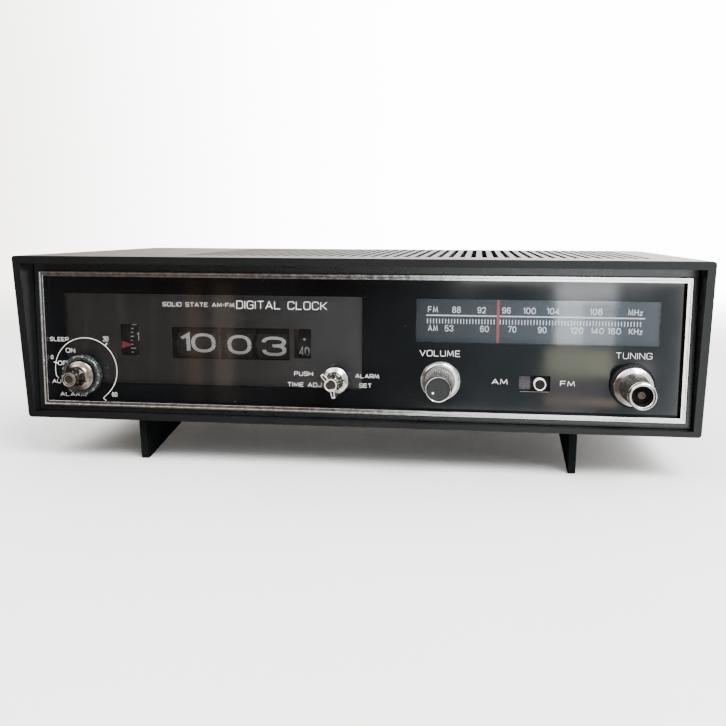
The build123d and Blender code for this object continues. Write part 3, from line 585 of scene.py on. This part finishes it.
def disc(sketch, u, v, radius, place, lift=PRINT, steps=24):
    turns = [2 * math.pi * step / steps for step in range(steps)]
    outline = [(u + radius * math.cos(turn), v + radius * math.sin(turn)) for turn in turns]
    patch(sketch, outline, place, lift)


def facing(depth):
    """Places print on a flat surface that faces the front: u is x and v is z."""
    return lambda u, v, lift: at(u, depth - lift, v)


def on_drum(joint, radius, start):
    """Places print round a drum that turns about X: v runs up from the start angle."""
    axis = JOINT_POS[joint]

    def place(u, v, lift):
        angle = start + v / radius
        reach = radius + lift
        return at(u, axis.y - FRONT_Y / MM - reach * math.cos(angle),
                  axis.z + reach * math.sin(angle))
    return place


# Centre lines of the lettering in a unit square: (width, strokes).
ROUND = [(.5, 1), (1, 1), (1, 0), (0, 0), (0, 1), (.5, 1)]
GLYPHS = {
    "0": (1, [ROUND]),
    "1": (.38, [[(0, .76, 0), (1, 1, 0), (1, 0)]]),
    "2": (1, [[(0, .68), (0, 1), (1, 1), (1, .5), (0, 0, 0), (1, 0)]]),
    "3": (1, [[(0, .74), (0, 1), (1, 1), (1, .53), (.42, .53)],
              [(.42, .53), (1, .53), (1, 0), (0, 0), (0, .27)]]),
    "4": (1, [[(.76, 0), (.76, 1, 0), (0, .27, 0), (1, .27)]]),
    "5": (1, [[(.95, 1), (.1, 1, 0), (0, .5, 0), (1, .64), (1, 0), (0, 0), (0, .24)]]),
    "6": (1, [[(.95, .76), (.95, 1), (0, 1), (0, 0), (1, 0), (1, .6), (0, .6)]]),
    "7": (1, [[(0, 1), (1, 1, 0), (.35, 0)]]),
    "8": (1, [[(.5, 1), (.95, 1), (.95, .53), (.05, .53), (.05, 1), (.5, 1)],
              [(.5, .53), (1, .53), (1, 0), (0, 0), (0, .53), (.5, .53)]]),
    "9": (1, [[(.05, .24), (.05, 0), (1, 0), (1, 1), (0, 1), (0, .4), (1, .4)]]),
    "A": (1.1, [[(0, 0), (.5, 1, 0), (1, 0)], [(.2, .3), (.8, .3)]]),
    "C": (1, [[(1, .72), (1, 1), (0, 1), (0, 0), (1, 0), (1, .28)]]),
    "D": (1, [[(.5, 0), (0, 0, 0), (0, 1, 0), (1, 1), (1, 0), (.5, 0)]]),
    "E": (.9, [[(1, 1), (0, 1, 0), (0, 0, 0), (1, 0)], [(0, .5), (.9, .5)]]),
    "F": (.9, [[(1, 1), (0, 1, 0), (0, 0)], [(0, .5), (.9, .5)]]),
    "G": (1, [[(1, .75), (1, 1), (0, 1), (0, 0), (1, 0), (1, .48, 0), (.5, .48)]]),
    "H": (1, [[(0, 0), (0, 1)], [(1, 0), (1, 1)], [(0, .5), (1, .5)]]),
    "I": (.02, [[(0, 0), (0, 1)]]),
    "J": (.85, [[(1, 1), (1, 0), (0, 0), (0, .3)]]),
    "K": (1, [[(0, 0), (0, 1)], [(1, 1), (.3, .5, 0), (1, 0)], [(0, .5), (.3, .5)]]),
    "L": (.9, [[(0, 1), (0, 0, 0), (1, 0)]]),
    "M": (1.25, [[(0, 0), (.12, 1, 0), (.5, .12, 0), (.88, 1, 0), (1, 0)]]),
    "N": (1, [[(0, 0), (0, 1, 0), (1, 0, 0), (1, 1)]]),
    "O": (1.05, [ROUND]),
    "P": (.95, [[(0, 0), (0, 1, 0), (1, 1), (1, .42), (0, .42)]]),
    "R": (1, [[(0, 0), (0, 1, 0), (1, 1), (1, .42), (0, .42)], [(.5, .42), (1, 0)]]),
    "S": (.95, [[(1, .8), (1, 1), (0, 1), (0, .5), (1, .5), (1, 0), (0, 0), (0, .2)]]),
    "T": (1, [[(0, 1), (1, 1)], [(.5, 1), (.5, 0)]]),
    "U": (1, [[(0, 1), (0, 0), (1, 0), (1, 1)]]),
    "V": (1.05, [[(0, 1), (.5, 0, 0), (1, 1)]]),
    "z": (.7, [[(0, .6), (1, .6, 0), (0, 0, 0), (1, 0)]]),
    "-": (.4, [[(0, .5), (1, .5)]]),
    " ": (.6, []),
}


def lettering(sketch, words, u0, u1, v, height, weight, place, reach=0.3, gap=0.38, stretch=1.0,
              lift=PRINT):
    """Fits words between u0 and u1, centred on v. height and weight are in millimetres."""
    tall = height - weight
    units = sum(GLYPHS[letter][0] for letter in words) + gap * (len(words) - 1)
    wide = (u1 - u0 - weight * stretch) / max(units, 0.05)
    u = u0 + weight * stretch / 2
    for letter in words:
        share, strokes = GLYPHS[letter]
        for order, path in enumerate(strokes):
            sized = [(corner[0] * share * wide / stretch, corner[1] * tall, *corner[2:])
                     for corner in path]
            line = rounded(sized, reach * tall)

            def shifted(a, b, level, start=u):
                return place(start + a * stretch, v - tall / 2 + b, level)

            stroke(sketch, line, weight, shifted, lift + order * STROKE_STEP)
        u += (share + gap) * wide


# ---------------- front print

def behind(x, z, depth):
    """Carries a place seen on the panel's front on to a plane further back."""
    scale = (LENS_TO_CAMERA + depth) / (LENS_TO_CAMERA + PANEL_FRONT)
    return EYE_X + (x - EYE_X) * scale, EYE_Z + (z - EYE_Z) * scale


def front_legends():
    """The white function labels and the sleep arc, printed on the panel and the lens."""
    sketch = Sketch()
    place = facing(PANEL_FRONT)
    labels = (
        ("SLEEP", -164.8, -154.3, 64.8, 2.1, 0.145),
        ("ON", -156.0, -150.9, 58.8, 2.3, 0.155),
        ("OFF", -160.8, -153.6, 51.8, 2.3, 0.16),
        ("AUTO", -164.5, -154.2, 41.8, 2.1, 0.155),
        ("ALARM", -160.2, -145.6, 34.8, 2.1, 0.145),
        ("0", -164.7, -163.5, 54.9, 2.2, 0.16),
        ("30", -134.7, -131.9, 65.4, 2.6, 0.12),
        ("60", -130.8, -128.0, 35.3, 2.4, 0.12),
        ("SOLID STATE AM-FM", -101.0, -62.2, 84.6, 2.1, 0.15),
        ("DIGITAL CLOCK", -61.0, -13.0, 84.9, 4.2, 0.3),
        ("PUSH", -30.4, -20.6, 49.2, 2.1, 0.145),
        ("TIME ADJ", -34.0, -16.0, 43.4, 2.1, 0.145),
        ("ALARM", 2.0, 14.3, 48.7, 2.1, 0.145),
        ("SET", 4.0, 10.4, 43.7, 2.1, 0.145),
        ("VOLUME", 35.3, 55.9, 61.5, 3.1, 0.21),
        ("AM", 72.3, 80.2, 47.6, 2.6, 0.2),
        ("FM", 106.6, 113.8, 47.4, 2.6, 0.2),
        ("TUNING", 133.4, 151.0, 62.3, 3.1, 0.2),
    )
    for label in labels:
        lettering(sketch, *label, place)
    centre = Vector((-145.0, 48.4))
    radius = 17.4
    arc = [centre + radius * heading(192.0 - step * 244.0 / 72) for step in range(73)]
    start = arc[0] + Vector((1.2, -1.3))
    hook = [arc[-1] + Vector((-1.6, -1.6)), arc[-1] + Vector((0.2, -2.9))]
    stroke(sketch, [start, *arc, *hook], 0.21, place)
    for degrees, inner, outer in ((168.0, -1.6, 1.2), (50.0, -0.2, 1.8)):
        spoke = heading(degrees)
        stroke(sketch, [centre + spoke * (radius + inner), centre + spoke * (radius + outer)],
               0.35, place)
    sketch.piece("front_legends", "print_white", "cabinet")


def dial_scale():
    """The tuning scale on its backing plate: two rows of numbers, a line and ticks."""
    sketch = Sketch()
    place = facing(DIAL_PLATE)
    rows = (
        (84.0, (("FM", 41.7, 5.2), ("88", 53.6, 4.4), ("92", 66.3, 4.4), ("96", 78.7, 4.4),
                ("100", 90.1, 6.4), ("104", 101.8, 6.4), ("108", 122.8, 6.4),
                ("MHz", 141.9, 7.2))),
        (74.5, (("AM", 41.8, 5.2), ("53", 50.0, 4.4), ("60", 67.9, 4.6), ("70", 81.7, 4.4),
                ("90", 96.7, 4.4), ("120", 113.7, 6.4), ("140", 123.7, 6.6),
                ("160", 132.0, 6.6), ("KHz", 142.4, 6.8))),
    )
    for z, marks in rows:
        for words, x, width in marks:
            u, v = behind(x, z, DIAL_PLATE)
            lettering(sketch, words, u - width / 2, u + width / 2, v, 3.3, 0.46, place,
                      reach=0.5, gap=0.5)
    left, line = behind(38.3, 81.05, DIAL_PLATE)
    right, _ = behind(146.6, 81.05, DIAL_PLATE)
    stroke(sketch, [(left, line), (right, line)], 0.65, place)
    for tick in range(70):
        x = 39.0 + tick * 1.53
        u, low = behind(x, 76.9, DIAL_PLATE)
        _, high = behind(x, 79.3, DIAL_PLATE)
        stroke(sketch, [(u, low), (u, high)], 0.5, place)
    sketch.piece("dial_scale", "dial_ink", "cabinet")


# ---------------- clock print

SPLIT_Z = JOINT_POS["hour_leaf_fall"].z
LEAF_AXIS_DEPTH = JOINT_POS["hour_leaf_fall"].y - FRONT_Y / MM
DIGIT_HEIGHT = 10.6
DIGIT_WEIGHT = 1.6
DIGIT_STRETCH = 1.36
HALF_LEAF = 0.18
LOWER_LEAF = 0.60
UNITS_LOWER_LEAF = 0.86
ALARM_RADIUS = 25.0
SHADE_SHEET_DEPTH = 59.2
SPLIT_GAP = 0.02


def cut_at_split(made, keep_above):
    """Cuts a piece of print along the line between its two leaves, and closes the cut."""
    work = bmesh.new()
    work.from_mesh(made.data)
    side = 1 if keep_above else -1
    bmesh.ops.bisect_plane(work, geom=work.verts[:] + work.edges[:] + work.faces[:],
                           plane_co=(0, 0, SPLIT_Z * MM + side * SPLIT_GAP * MM),
                           plane_no=(0, 0, -side), clear_outer=True)
    bmesh.ops.holes_fill(work, edges=[edge for edge in work.edges if edge.is_boundary], sides=0)
    bmesh.ops.recalc_face_normals(work, faces=work.faces)
    work.to_mesh(made.data)
    work.free()


def clock_digits():
    """Each drum's shown number and the halves of the next one behind its falling leaf."""
    drums = (
        ("hour", (("1", -96.3, -90.4), ("0", -89.9, -76.1)),
         (("1", -94.2, -88.3), ("1", -85.3, -79.4)), 0.8, -0.1),
        ("tens", (("0", -69.7, -56.3),), (("1", -65.6, -59.4),), 0.2, -0.1),
        ("units", (("3", -50.6, -37.2),), (("4", -51.6, -37.6),), -0.3, -0.4),
    )
    upper_face = LEAF_AXIS_DEPTH - HALF_LEAF

    def turned_over(u, v, lift):
        return at(u, LEAF_AXIS_DEPTH + HALF_LEAF + lift, 2 * SPLIT_Z - v)

    for name, shown, following, rise, next_rise in drums:
        lower_face = upper_face + (UNITS_LOWER_LEAF if name == "units" else LOWER_LEAF)
        sheets = (
            ("upper", shown, rise, facing(upper_face), f"{name}_falling_leaf", True),
            ("lower", shown, rise, facing(lower_face), f"{name}_drum", False),
            ("next_upper", following, next_rise, facing(lower_face), f"{name}_drum", True),
            ("next_lower", following, next_rise, turned_over, f"{name}_falling_leaf", True),
        )
        for half_name, marks, lift, place, body, above in sheets:
            sketch = Sketch()
            for digit, u0, u1 in marks:
                lettering(sketch, digit, u0, u1, SPLIT_Z + lift, DIGIT_HEIGHT, DIGIT_WEIGHT,
                          place, reach=0.5, stretch=DIGIT_STRETCH)
            made = sketch.piece(f"{name}_digit_{half_name}", "digit_ink", body)
            cut_at_split(made, above)


def seconds_print():
    """Tens of seconds round the small drum, with a dot between each two."""
    sketch = Sketch()
    low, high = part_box("seconds_drum")
    radius = (high.z - low.z) / MM / 2
    middle = -27.4
    first = math.radians(-12.6)
    for index, words in enumerate(("40", "60", "20")):
        turn = first + index * math.tau / 3
        place = on_drum("seconds_turn", radius, turn)
        lettering(sketch, words, middle - 2.9, middle + 2.9, 0.0, 5.2, 0.75, place, reach=0.5,
                  gap=0.5)
        for side in (-1, 1):
            place = on_drum("seconds_turn", radius, turn + side * math.pi / 6)
            disc(sketch, middle, 0.0, 0.62, place)
    sketch.piece("seconds_print", "digit_ink", "seconds_drum")


def alarm_print():
    """Hours and ten-minute ticks round the alarm drum, longer on the hour and half hour."""
    sketch = Sketch()
    middle = -119.4
    edge = -123.6
    now = math.radians(8.6)
    for hour in range(12):
        turn = now + hour * math.pi / 6
        words = str(hour + 1)
        half = 0.9 if len(words) == 1 else 1.9
        place = on_drum("alarm_turn", ALARM_RADIUS, turn)
        lettering(sketch, words, middle - half, middle + half, 0.0, 5.2, 0.85, place, reach=0.5,
                  gap=0.5)
        for tick in range(6):
            place = on_drum("alarm_turn", ALARM_RADIUS, turn + (tick - 2) * math.pi / 36)
            reach = {2: 1.9, 5: 2.9}.get(tick, 1.4)
            stroke(sketch, [(edge, 0.0), (edge + reach, 0.0)], 0.55, place)
    sketch.piece("alarm_print", "digit_ink", "alarm_drum")


# ---------------- knobs

def band_slot_lip():
    """The bright lower edge of the slot that the band switch slides in."""
    lip = Sketch()
    stroke(lip, [(86.6, 42.85), (101.2, 42.85)], 0.3, facing(PANEL_FRONT), 0.12)
    lip.piece("band_slot_lip", "tan_edge", "cabinet")


def shade_sheet_behind_drums():
    """A black sheet of painted shade behind the drums, between the left and the middle plate."""
    sheet = Sketch()
    # Painted shade: a black sheet where the movement behind the drums lies in shadow.
    patch(sheet, rectangle(-103.0, -35.3, 40.0, 90.0), facing(SHADE_SHEET_DEPTH), 0.6)
    sheet.piece("shade_sheet_behind_drums", "matt_black", "cabinet")


def volume_control():
    """A ribbed knob in a bright dish, with a bright front ring and a dark face."""
    centre = joint_axis("volume_turn")
    ribs = 44

    def rib(radius, depth, angle):
        inside = radius > 6.5 and -21.0 < depth < 1.2
        return 0.3 * math.cos(ribs * angle) - 0.2 if inside else 0.0

    made = turned("volume_body", "knurl_metal", "volume_control", "knob_plastic", centre, [
        (0, 20.0), (3.0, 20.0), (3.0, 1.6), (7.5, 1.6), (7.55, 1.0), (7.4, 0.4), (7.1, -8.0),
        (6.8, -15.0), (6.6, -20.6), (6.4, -21.4), (5.7, -21.4), (0, -21.4),
    ], steps=704, ripple=rib, crease=50.0)
    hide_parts("volume_knob")
    made = turned("volume_bright_parts", "bright_chrome", "volume_control", "bright_chrome",
                  centre, [
        (3.05, 3.2), (10.2, 3.2), (10.2, 2.3), (10.05, 2.1), (9.85, 2.1), (9.75, 2.5),
        (9.6, 2.5), (9.5, 1.8), (9.2, 1.3), (8.7, 1.0), (8.0, 0.85), (7.4, 0.9), (3.05, 0.9),
    ], [
        (5.75, -21.4), (6.4, -21.4), (6.55, -21.6), (6.5, -22.2), (6.3, -22.9), (6.05, -23.2),
        (5.85, -23.1), (5.7, -22.7), (5.65, -21.8),
    ])
    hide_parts("volume_trim")
    rings = [(5.6 * ring / 10, -22.3 - 0.03 * (ring % 2)) for ring in range(10, 0, -1)]
    turned("volume_face", "knob_face", "volume_control", "knob_plastic", centre,
           [(0, -21.42), (5.6, -21.42), *rings, (0, -22.33)])
    dot = Sketch()
    disc(dot, *(Vector(centre) + 3.2 * heading(218.0)), 0.5, facing(-22.33))
    dot.piece("volume_dot", "print_white", "volume_control")


def tuning_control():
    """A black skirt, a bright flange, a cross-knurled body and a double front ring."""
    centre = joint_axis("tuning_turn")
    turned("tuning_cup", "matt_black", "tuning_control", "knob_plastic", centre, [
        (0, -21.0), (4.75, -21.0), (4.75, -23.9), (4.9, -24.1), (6.5, -24.1), (6.5, -23.0),
        (6.2, -20.0), (3.0, 0.2), (0, 0.2),
    ])
    turned("tuning_skirt", "knob_plastic", "tuning_control", "knob_plastic", centre, [
        (3.05, 3.4), (10.8, 3.4), (11.0, 3.1), (11.0, 1.6), (10.8, 0.9), (10.3, 0.4),
        (7.0, 0.3), (3.05, 0.3),
    ])
    knurls = 36

    def diamond(radius, depth, angle):
        if radius < 6.6 or not -23.6 < depth < -4.3:
            return 0.0
        first = math.cos(knurls * angle + depth * 4.8)
        second = math.cos(knurls * angle - depth * 4.8)
        return 0.22 * (max(first, second) - 0.6)

    rows = [(7.3 - 0.008 * step, -4.3 - 0.24 * step) for step in range(81)]
    grip = turned("tuning_grip", "knurl_plastic", "tuning_control", "knob_plastic", centre,
                  [(6.3, -4.0), (7.4, -4.0), *rows, (6.6, -24.0), (6.3, -24.0)],
                  steps=352, ripple=diamond, crease=60.0)
    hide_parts("tuning_knob")
    made = turned("tuning_bright_parts", "bright_chrome", "tuning_control", "bright_chrome",
                  centre, [
        (6.6, 0.4), (9.6, 0.4), (9.9, 0.1), (9.9, -2.5), (9.75, -2.85), (9.4, -3.1),
        (8.6, -3.5), (7.8, -3.85), (6.6, -4.35),
    ], [
        (5.0, -24.1), (6.55, -24.1), (6.7, -24.3), (6.7, -25.6), (6.55, -25.8), (6.3, -25.8),
        (6.3, -26.2), (6.55, -26.4), (6.55, -27.2), (6.35, -27.8), (6.05, -28.0), (5.7, -27.9),
        (5.5, -27.4), (5.3, -27.2), (5.05, -27.3), (4.9, -27.1), (4.8, -24.6),
    ])
    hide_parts("tuning_trim")
    turned("tuning_boss", "brown_boss", "tuning_control", "knob_plastic", centre, [
        (0, -20.9), (1.85, -20.9), (1.85, -24.0), (1.6, -24.3), (1.1, -24.3), (0.9, -23.7),
        (0, -23.6),
    ], steps=48)


def trumpet(radius, end, shaft_end, front=0.0, barrel=3.05):
    """The outline of a bright disc that flares into a slim barrel on a shaft."""
    return [
        (0, shaft_end), (2.0, shaft_end), (2.0, 0.7), (radius - 0.3, front + 0.7),
        (radius, front + 0.5), (radius, front - 0.1), (radius - 0.3, front - 0.4),
        (radius * 0.86, front - 0.7), (radius * 0.74, front - 1.2),
        (radius * 0.63, front - 1.9), (barrel + 0.9, front - 3.0), (barrel + 0.4, front - 4.6),
        (barrel + 0.15, front - 6.4), (barrel, -10.0), (barrel - 0.05, end + 1.0),
        (barrel + 0.1, end + 0.7), (barrel + 0.1, end + 0.2), (barrel - 0.1, end),
        (barrel - 0.45, end), (barrel - 0.6, end + 0.25), (barrel - 0.65, end + 0.8),
        (0, end + 0.8),
    ]


def selector_control():
    """The function knob with its index mark, and the notched smoky ring round it."""
    centre = joint_axis("selector_turn")
    made = turned("selector_body", "aged_chrome", "selector_knob", "bright_chrome", centre,
                  trumpet(7.9, -14.6, 27.0, -2.3, 3.5), steps=72)
    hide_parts("selector_knob")
    turned("selector_cup", "brown_cup", "selector_knob", "bright_chrome", centre,
           [(0, -13.7), (2.75, -13.7), (2.75, -14.3), (2.3, -14.4), (2.1, -14.0), (0, -13.9)],
           steps=40)
    # Light tan and only partly metallic, so the rims show the same all round: painted reflection in their colour.
    turned("selector_rims", "tan_edge", "selector_knob", "bright_chrome", centre,
           [(3.2, -14.2), (3.45, -14.2), (3.6, -14.4), (3.6, -14.75), (3.5, -14.9),
            (3.35, -14.9), (3.2, -14.75)],
           [(2.35, -13.8), (2.6, -13.8), (2.6, -14.55), (2.47, -14.65), (2.35, -14.55)],
           steps=48)
    mark = Sketch()
    corners = [(-1.6, -3.4), (4.8, -2.9), (4.8, -2.3), (-1.6, -2.8)]
    outline = [(centre[0] + x, centre[1] + z) for x, z in corners]
    patch(mark, outline, facing(-2.4), 4.5)
    mark.piece("selector_index", "matt_black", "selector_knob")
    notches = 14

    def notched(radius, depth, angle):
        if radius < 9.6:
            return 0.0
        share = (angle * notches / (2 * math.pi) + 0.3) % 1.0
        return -0.75 * max(0.0, 1 - abs(share - 0.5) * 12)

    # Light slivers on the notch flanks: painted highlights where the notch edges would catch light.
    edges = Sketch()
    pitch = 2 * math.pi / notches
    for notch in range(notches):
        for flank in (-1, 1):
            turn = pitch * (notch + 0.2 + flank / 12)
            across = 0.12 / 10.2
            outline = [(centre[0] + reach * math.cos(turn + side * across),
                        centre[1] + reach * math.sin(turn + side * across))
                       for reach, side in ((9.75, -1), (10.7, -1), (10.7, 1), (9.75, 1))]
            patch(edges, outline, facing(-0.45), 0.28)
    edges.piece("sleep_ring_notch_highlights", "smoke_edge_highlight", "sleep_ring")
    made = turned("sleep_ring_smoky", "smoke_plastic", "sleep_ring", "smoke_plastic", centre, [
        (8.2, 1.4), (8.2, -0.3), (8.4, -0.6), (9.4, -0.75), (10.3, -0.6), (10.8, -0.1),
        (10.85, 3.2), (3.65, 3.2), (3.65, 22.0), (2.1, 22.0), (2.1, 1.4),
    ], steps=notches * 36, ripple=notched, crease=60.0)
    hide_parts("sleep_ring")


def time_control():
    """The bright knob with two wings that sets the time and the alarm."""
    centre = joint_axis("time_set_turn")
    knob = Sketch()
    lathe(knob, centre, trumpet(7.0, -13.6, 47.0), 72)
    edges = Sketch()
    inlay = Sketch()
    side_view = [(2.2, -13.2), (6.6, -12.9), (7.1, -12.2), (7.1, -4.0), (6.2, -1.2), (2.2, -0.4)]
    front_view = [(2.2, -13.45), (6.9, -13.1), (6.9, -12.7), (2.2, -13.05)]
    dark_view = [(2.9, -13.46), (6.3, -13.2), (6.3, -12.9), (2.9, -13.1)]
    for degrees in (-78.0, 132.0):
        out = heading(degrees)
        side = Vector((-out.y, out.x))
        for sketch, profile, thick in ((knob, side_view, 0.9), (edges, front_view, 0.98),
                                       (inlay, dark_view, 0.58)):
            points = []
            for half in (-thick, thick):
                for reach, depth in profile:
                    spot = Vector(centre) + out * reach + side * half * (1.15 - 0.05 * reach)
                    points.append(at(spot.x, depth, spot.y))
            prism(sketch, points)
    edges.piece("time_knob_wing_edges", "satin_edge", "time_set_knob")
    inlay.piece("time_knob_inlays", "matt_black", "time_set_knob")
    turned("time_knob_rim", "satin_edge", "time_set_knob", "bright_chrome", centre,
           [(2.7, -13.2), (3.0, -13.2), (3.15, -13.4), (3.15, -13.75), (3.05, -13.9),
            (2.85, -13.9), (2.7, -13.75)], steps=48)
    made = knob.piece("time_knob_body", "worn_chrome", "time_set_knob")
    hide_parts("time_set_knob")
    turned("time_knob_cup", "brown_cup", "time_set_knob", "bright_chrome", centre,
           [(0, -12.6), (2.3, -12.6), (2.3, -13.0), (0, -13.1)], steps=40)


def band_button():
    """The round slide button on its dark tongue, with a white rim and a dark middle."""
    low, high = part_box("band_switch_button")
    middle_x = (low.x + high.x) / 2 / MM
    middle_z = (low.z + high.z) / 2 / MM
    centre = (middle_x + 1.0, middle_z)
    tongue = Sketch()
    corner = 0.6
    reach = (high.x - low.x) / 2 / MM - corner
    rise = (high.z - low.z) / 2 / MM - corner
    outline = []
    for turn, x, z in ((0, 1, 1), (90, -1, 1), (180, -1, -1), (270, 1, -1)):
        for step in range(5):
            angle = math.radians(turn + step * 22.5)
            outline.append((middle_x + x * reach + corner * math.cos(angle),
                            middle_z + z * rise + corner * math.sin(angle)))
    patch(tongue, outline, facing(7.6), 1.0)
    lathe(tongue, centre, [
        (0, 6.55), (2.45, 6.55), (2.55, 6.2), (2.55, 1.7), (2.3, 1.35), (0.9, 1.2), (0.8, 1.35),
        (0, 1.35),
    ], 48)
    made = tongue.piece("band_button_tongue", "matt_black", "band_switch_button")
    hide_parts("band_switch_button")
    turned("band_button_rim", "print_white", "band_switch_button", "bright_chrome", centre, [
        (2.6, 6.5), (2.95, 6.5), (3.0, 6.2), (3.0, 1.0), (2.95, 0.7), (2.8, 0.6), (2.65, 0.7),
        (2.6, 1.1),
    ], steps=48)
    marks = Sketch()
    plate = rectangle(middle_x - 9.2, middle_x - 3.6, middle_z - 3.4, middle_z + 3.4)
    patch(marks, plate, facing(6.6), 0.12)
    for row in range(4):
        for column in range(4):
            spot_x = middle_x - 8.5 + column * 1.3 + 0.35 * (row % 2)
            spot_z = middle_z - 2.5 + row * 1.65
            disc(marks, spot_x, spot_z, 0.42, facing(6.48), 0.2, 10)
    marks.piece("band_button_grip", "grip_plate", "band_switch_button")


# ---------------- studio

def soften(name, width, angle=40.0):
    """Rounds the hard edges of a CAD node with modifiers, which leave its mesh alone."""
    target = frame["nodes"][name]
    weld = target.modifiers.new("weld", "WELD")
    weld.merge_threshold = 0.00002
    round_off = target.modifiers.new("round", "BEVEL")
    round_off.width = width * MM
    round_off.segments = 2
    round_off.limit_method = "ANGLE"
    round_off.angle_limit = math.radians(angle)
    even = target.modifiers.new("even", "WEIGHTED_NORMAL")
    even.weight = 100
    even.keep_sharp = True


def floor():
    """A wide pale floor that fades into the pale surroundings with distance."""
    mesh = bpy.data.meshes.new("floor")
    corners = rectangle(-6.0, 6.0, -6.0, 6.0)
    mesh.from_pydata([(x, y, 0) for x, y in corners], [], [(0, 1, 2, 3)])
    made = put("floor", mesh)
    paper = moulded("floor_paper", (0.80, 0.795, 0.785), 0.75, tone=0.01, grain_depth=0.005)
    length = node(paper, "ShaderNodeVectorMath")
    length.operation = "LENGTH"
    link(paper, where(paper), length.inputs[0])
    fade = smooth_range(paper, length.outputs["Value"], 0.45, 1.7)
    show_mix(paper, fade, shader_of(paper), node(paper, "ShaderNodeBsdfTransparent"))
    mesh.materials.append(paper)
    made.visible_glossy = False


def softbox(name, place, power):
    """A square area lamp that looks at the set and isn't seen by the camera."""
    lamp = bpy.data.lights.new(name, "AREA")
    lamp.shape = "SQUARE"
    lamp.size = 0.9
    lamp.energy = power
    made = put(name, lamp)
    made.location = place
    towards = Vector((0, 0, 0.05)) - Vector(place)
    made.rotation_euler = towards.to_track_quat("-Z", "Y").to_euler()
    made.visible_camera = False


# Pale and dark areas of the room before the set: slopes left, right, low and high, colour.
ROOM_BLOCKS = (
    (0.085, 0.115, -0.125, -0.02, (6.0, 6.4, 6.6)),
    (0.115, 0.148, -0.125, -0.02, (3.4, 3.7, 4.0)),
    (0.085, 0.148, -0.075, -0.03, (14.5, 15.0, 15.5)),
    (0.076, 0.148, -0.16, -0.129, (6.6, 6.7, 5.2)),
    (0.076, 0.14, -0.186, -0.16, (2.2, 2.1, 2.3)),
    (0.076, 0.155, -0.192, -0.184, (6.0, 4.8, 3.9)),
    (0.172, 0.19, -0.168, -0.14, (4.6, 4.8, 5.0)),
    (-0.332, -0.314, -0.215, -0.06, (0.4, 0.27, 0.2)),
    (-0.3, -0.276, -0.215, -0.06, (0.5, 0.38, 0.3)),
    (-0.06, 0.3, -0.225, -0.204, (6.5, 6.5, 6.5)),
    (0.22, 0.25, -0.225, -0.045, (7.5, 7.5, 7.5)),
    (-0.02, 0.3, -0.0565, -0.01, (8.5, 8.5, 8.5)),
)


def surroundings():
    """A pale room: bright behind and above, dim and warm before the set on the left."""
    world = bpy.data.worlds.new("studio")
    bpy.context.scene.world = world
    world.use_nodes = True
    across, along, rise = parts_of(world, where(world, "Generated"))
    ahead = maths(world, "MAXIMUM", maths(world, "MULTIPLY", along, -1.0), 0.05)
    slope_x = maths(world, "DIVIDE", across, ahead)
    slope_z = maths(world, "DIVIDE", rise, ahead)

    def fade(source, low, high, first, second):
        return blend_colours(world, smooth_range(world, source, low, high), first, second)

    before = fade(slope_x, -0.17, 0.14, (0.13, 0.10, 0.082), (1.05, 1.25, 1.35))
    before = fade(slope_x, 0.17, 0.24, before, (2.3, 2.5, 2.6))
    before = fade(slope_x, 0.28, 0.5, before, (1.5, 1.5, 1.5))
    soft = 0.004
    for left, right, low, high, colour in ROOM_BLOCKS:
        inside = None
        for source, edge, half in ((slope_x, left, soft), (slope_x, right, -soft),
                                   (slope_z, low, soft), (slope_z, high, -soft)):
            step = smooth_range(world, source, edge - half, edge + half)
            inside = step if inside is None else maths(world, "MULTIPLY", inside, step)
        before = blend_colours(world, inside, before, colour)
    behind_set = fade(across, -0.5, 0.4, (1.2, 1.0, 0.82), (6.0, 5.9, 5.7))
    level = fade(along, -0.35, 0.15, before, behind_set)
    above = fade(rise, 0.25, 0.7, level, (3.2, 3.2, 3.2))
    ground = fade(across, -0.4, 0.5, (0.35, 0.33, 0.31), (2.6, 2.55, 2.5))
    whole = fade(rise, -0.3, -0.6, above, ground)
    seen = fade(across, -0.55, -0.05, (4.6, 4.4, 4.1), (15.0, 15.0, 15.0))
    ray = node(world, "ShaderNodeLightPath")
    final = blend_colours(world, ray.outputs["Is Camera Ray"], whole, seen)
    link(world, final, world.node_tree.nodes["Background"].inputs["Color"])


def camera():
    """The camera at the eye of someone seated before the set, a little to the right."""
    data = bpy.data.cameras.new("camera")
    data.sensor_width = 36.0
    data.lens = LENS_LENGTH
    data.clip_start = 0.01
    made = put("camera", data)
    made.matrix_world = (Matrix.Translation(at(EYE_X, EYE_DEPTH, EYE_Z))
                         @ Matrix.Rotation(YAW, 4, "Z")
                         @ Matrix.Rotation(math.pi / 2 - PITCH, 4, "X")
                         @ Matrix.Rotation(ROLL, 4, "Z"))
    bpy.context.scene.camera = made


camera()
surroundings()
softbox("key", (0.7, -0.9, 1.3), 72.0)
softbox("fill", (-0.9, -0.7, 1.1), 10.0)
floor()
finish_nodes()
dull_slots()
front_legends()
dial_scale()
clock_digits()
seconds_print()
alarm_print()
shade_sheet_behind_drums()
band_slot_lip()
volume_control()
tuning_control()
selector_control()
time_control()
band_button()
for name, width in (("cabinet_shell", 0.06), ("chrome_trim", 0.1), ("left_foot_runner", 0.3),
                    ("right_foot_runner", 0.3), ("front_bezel", 0.25)):
    soften(name, width)
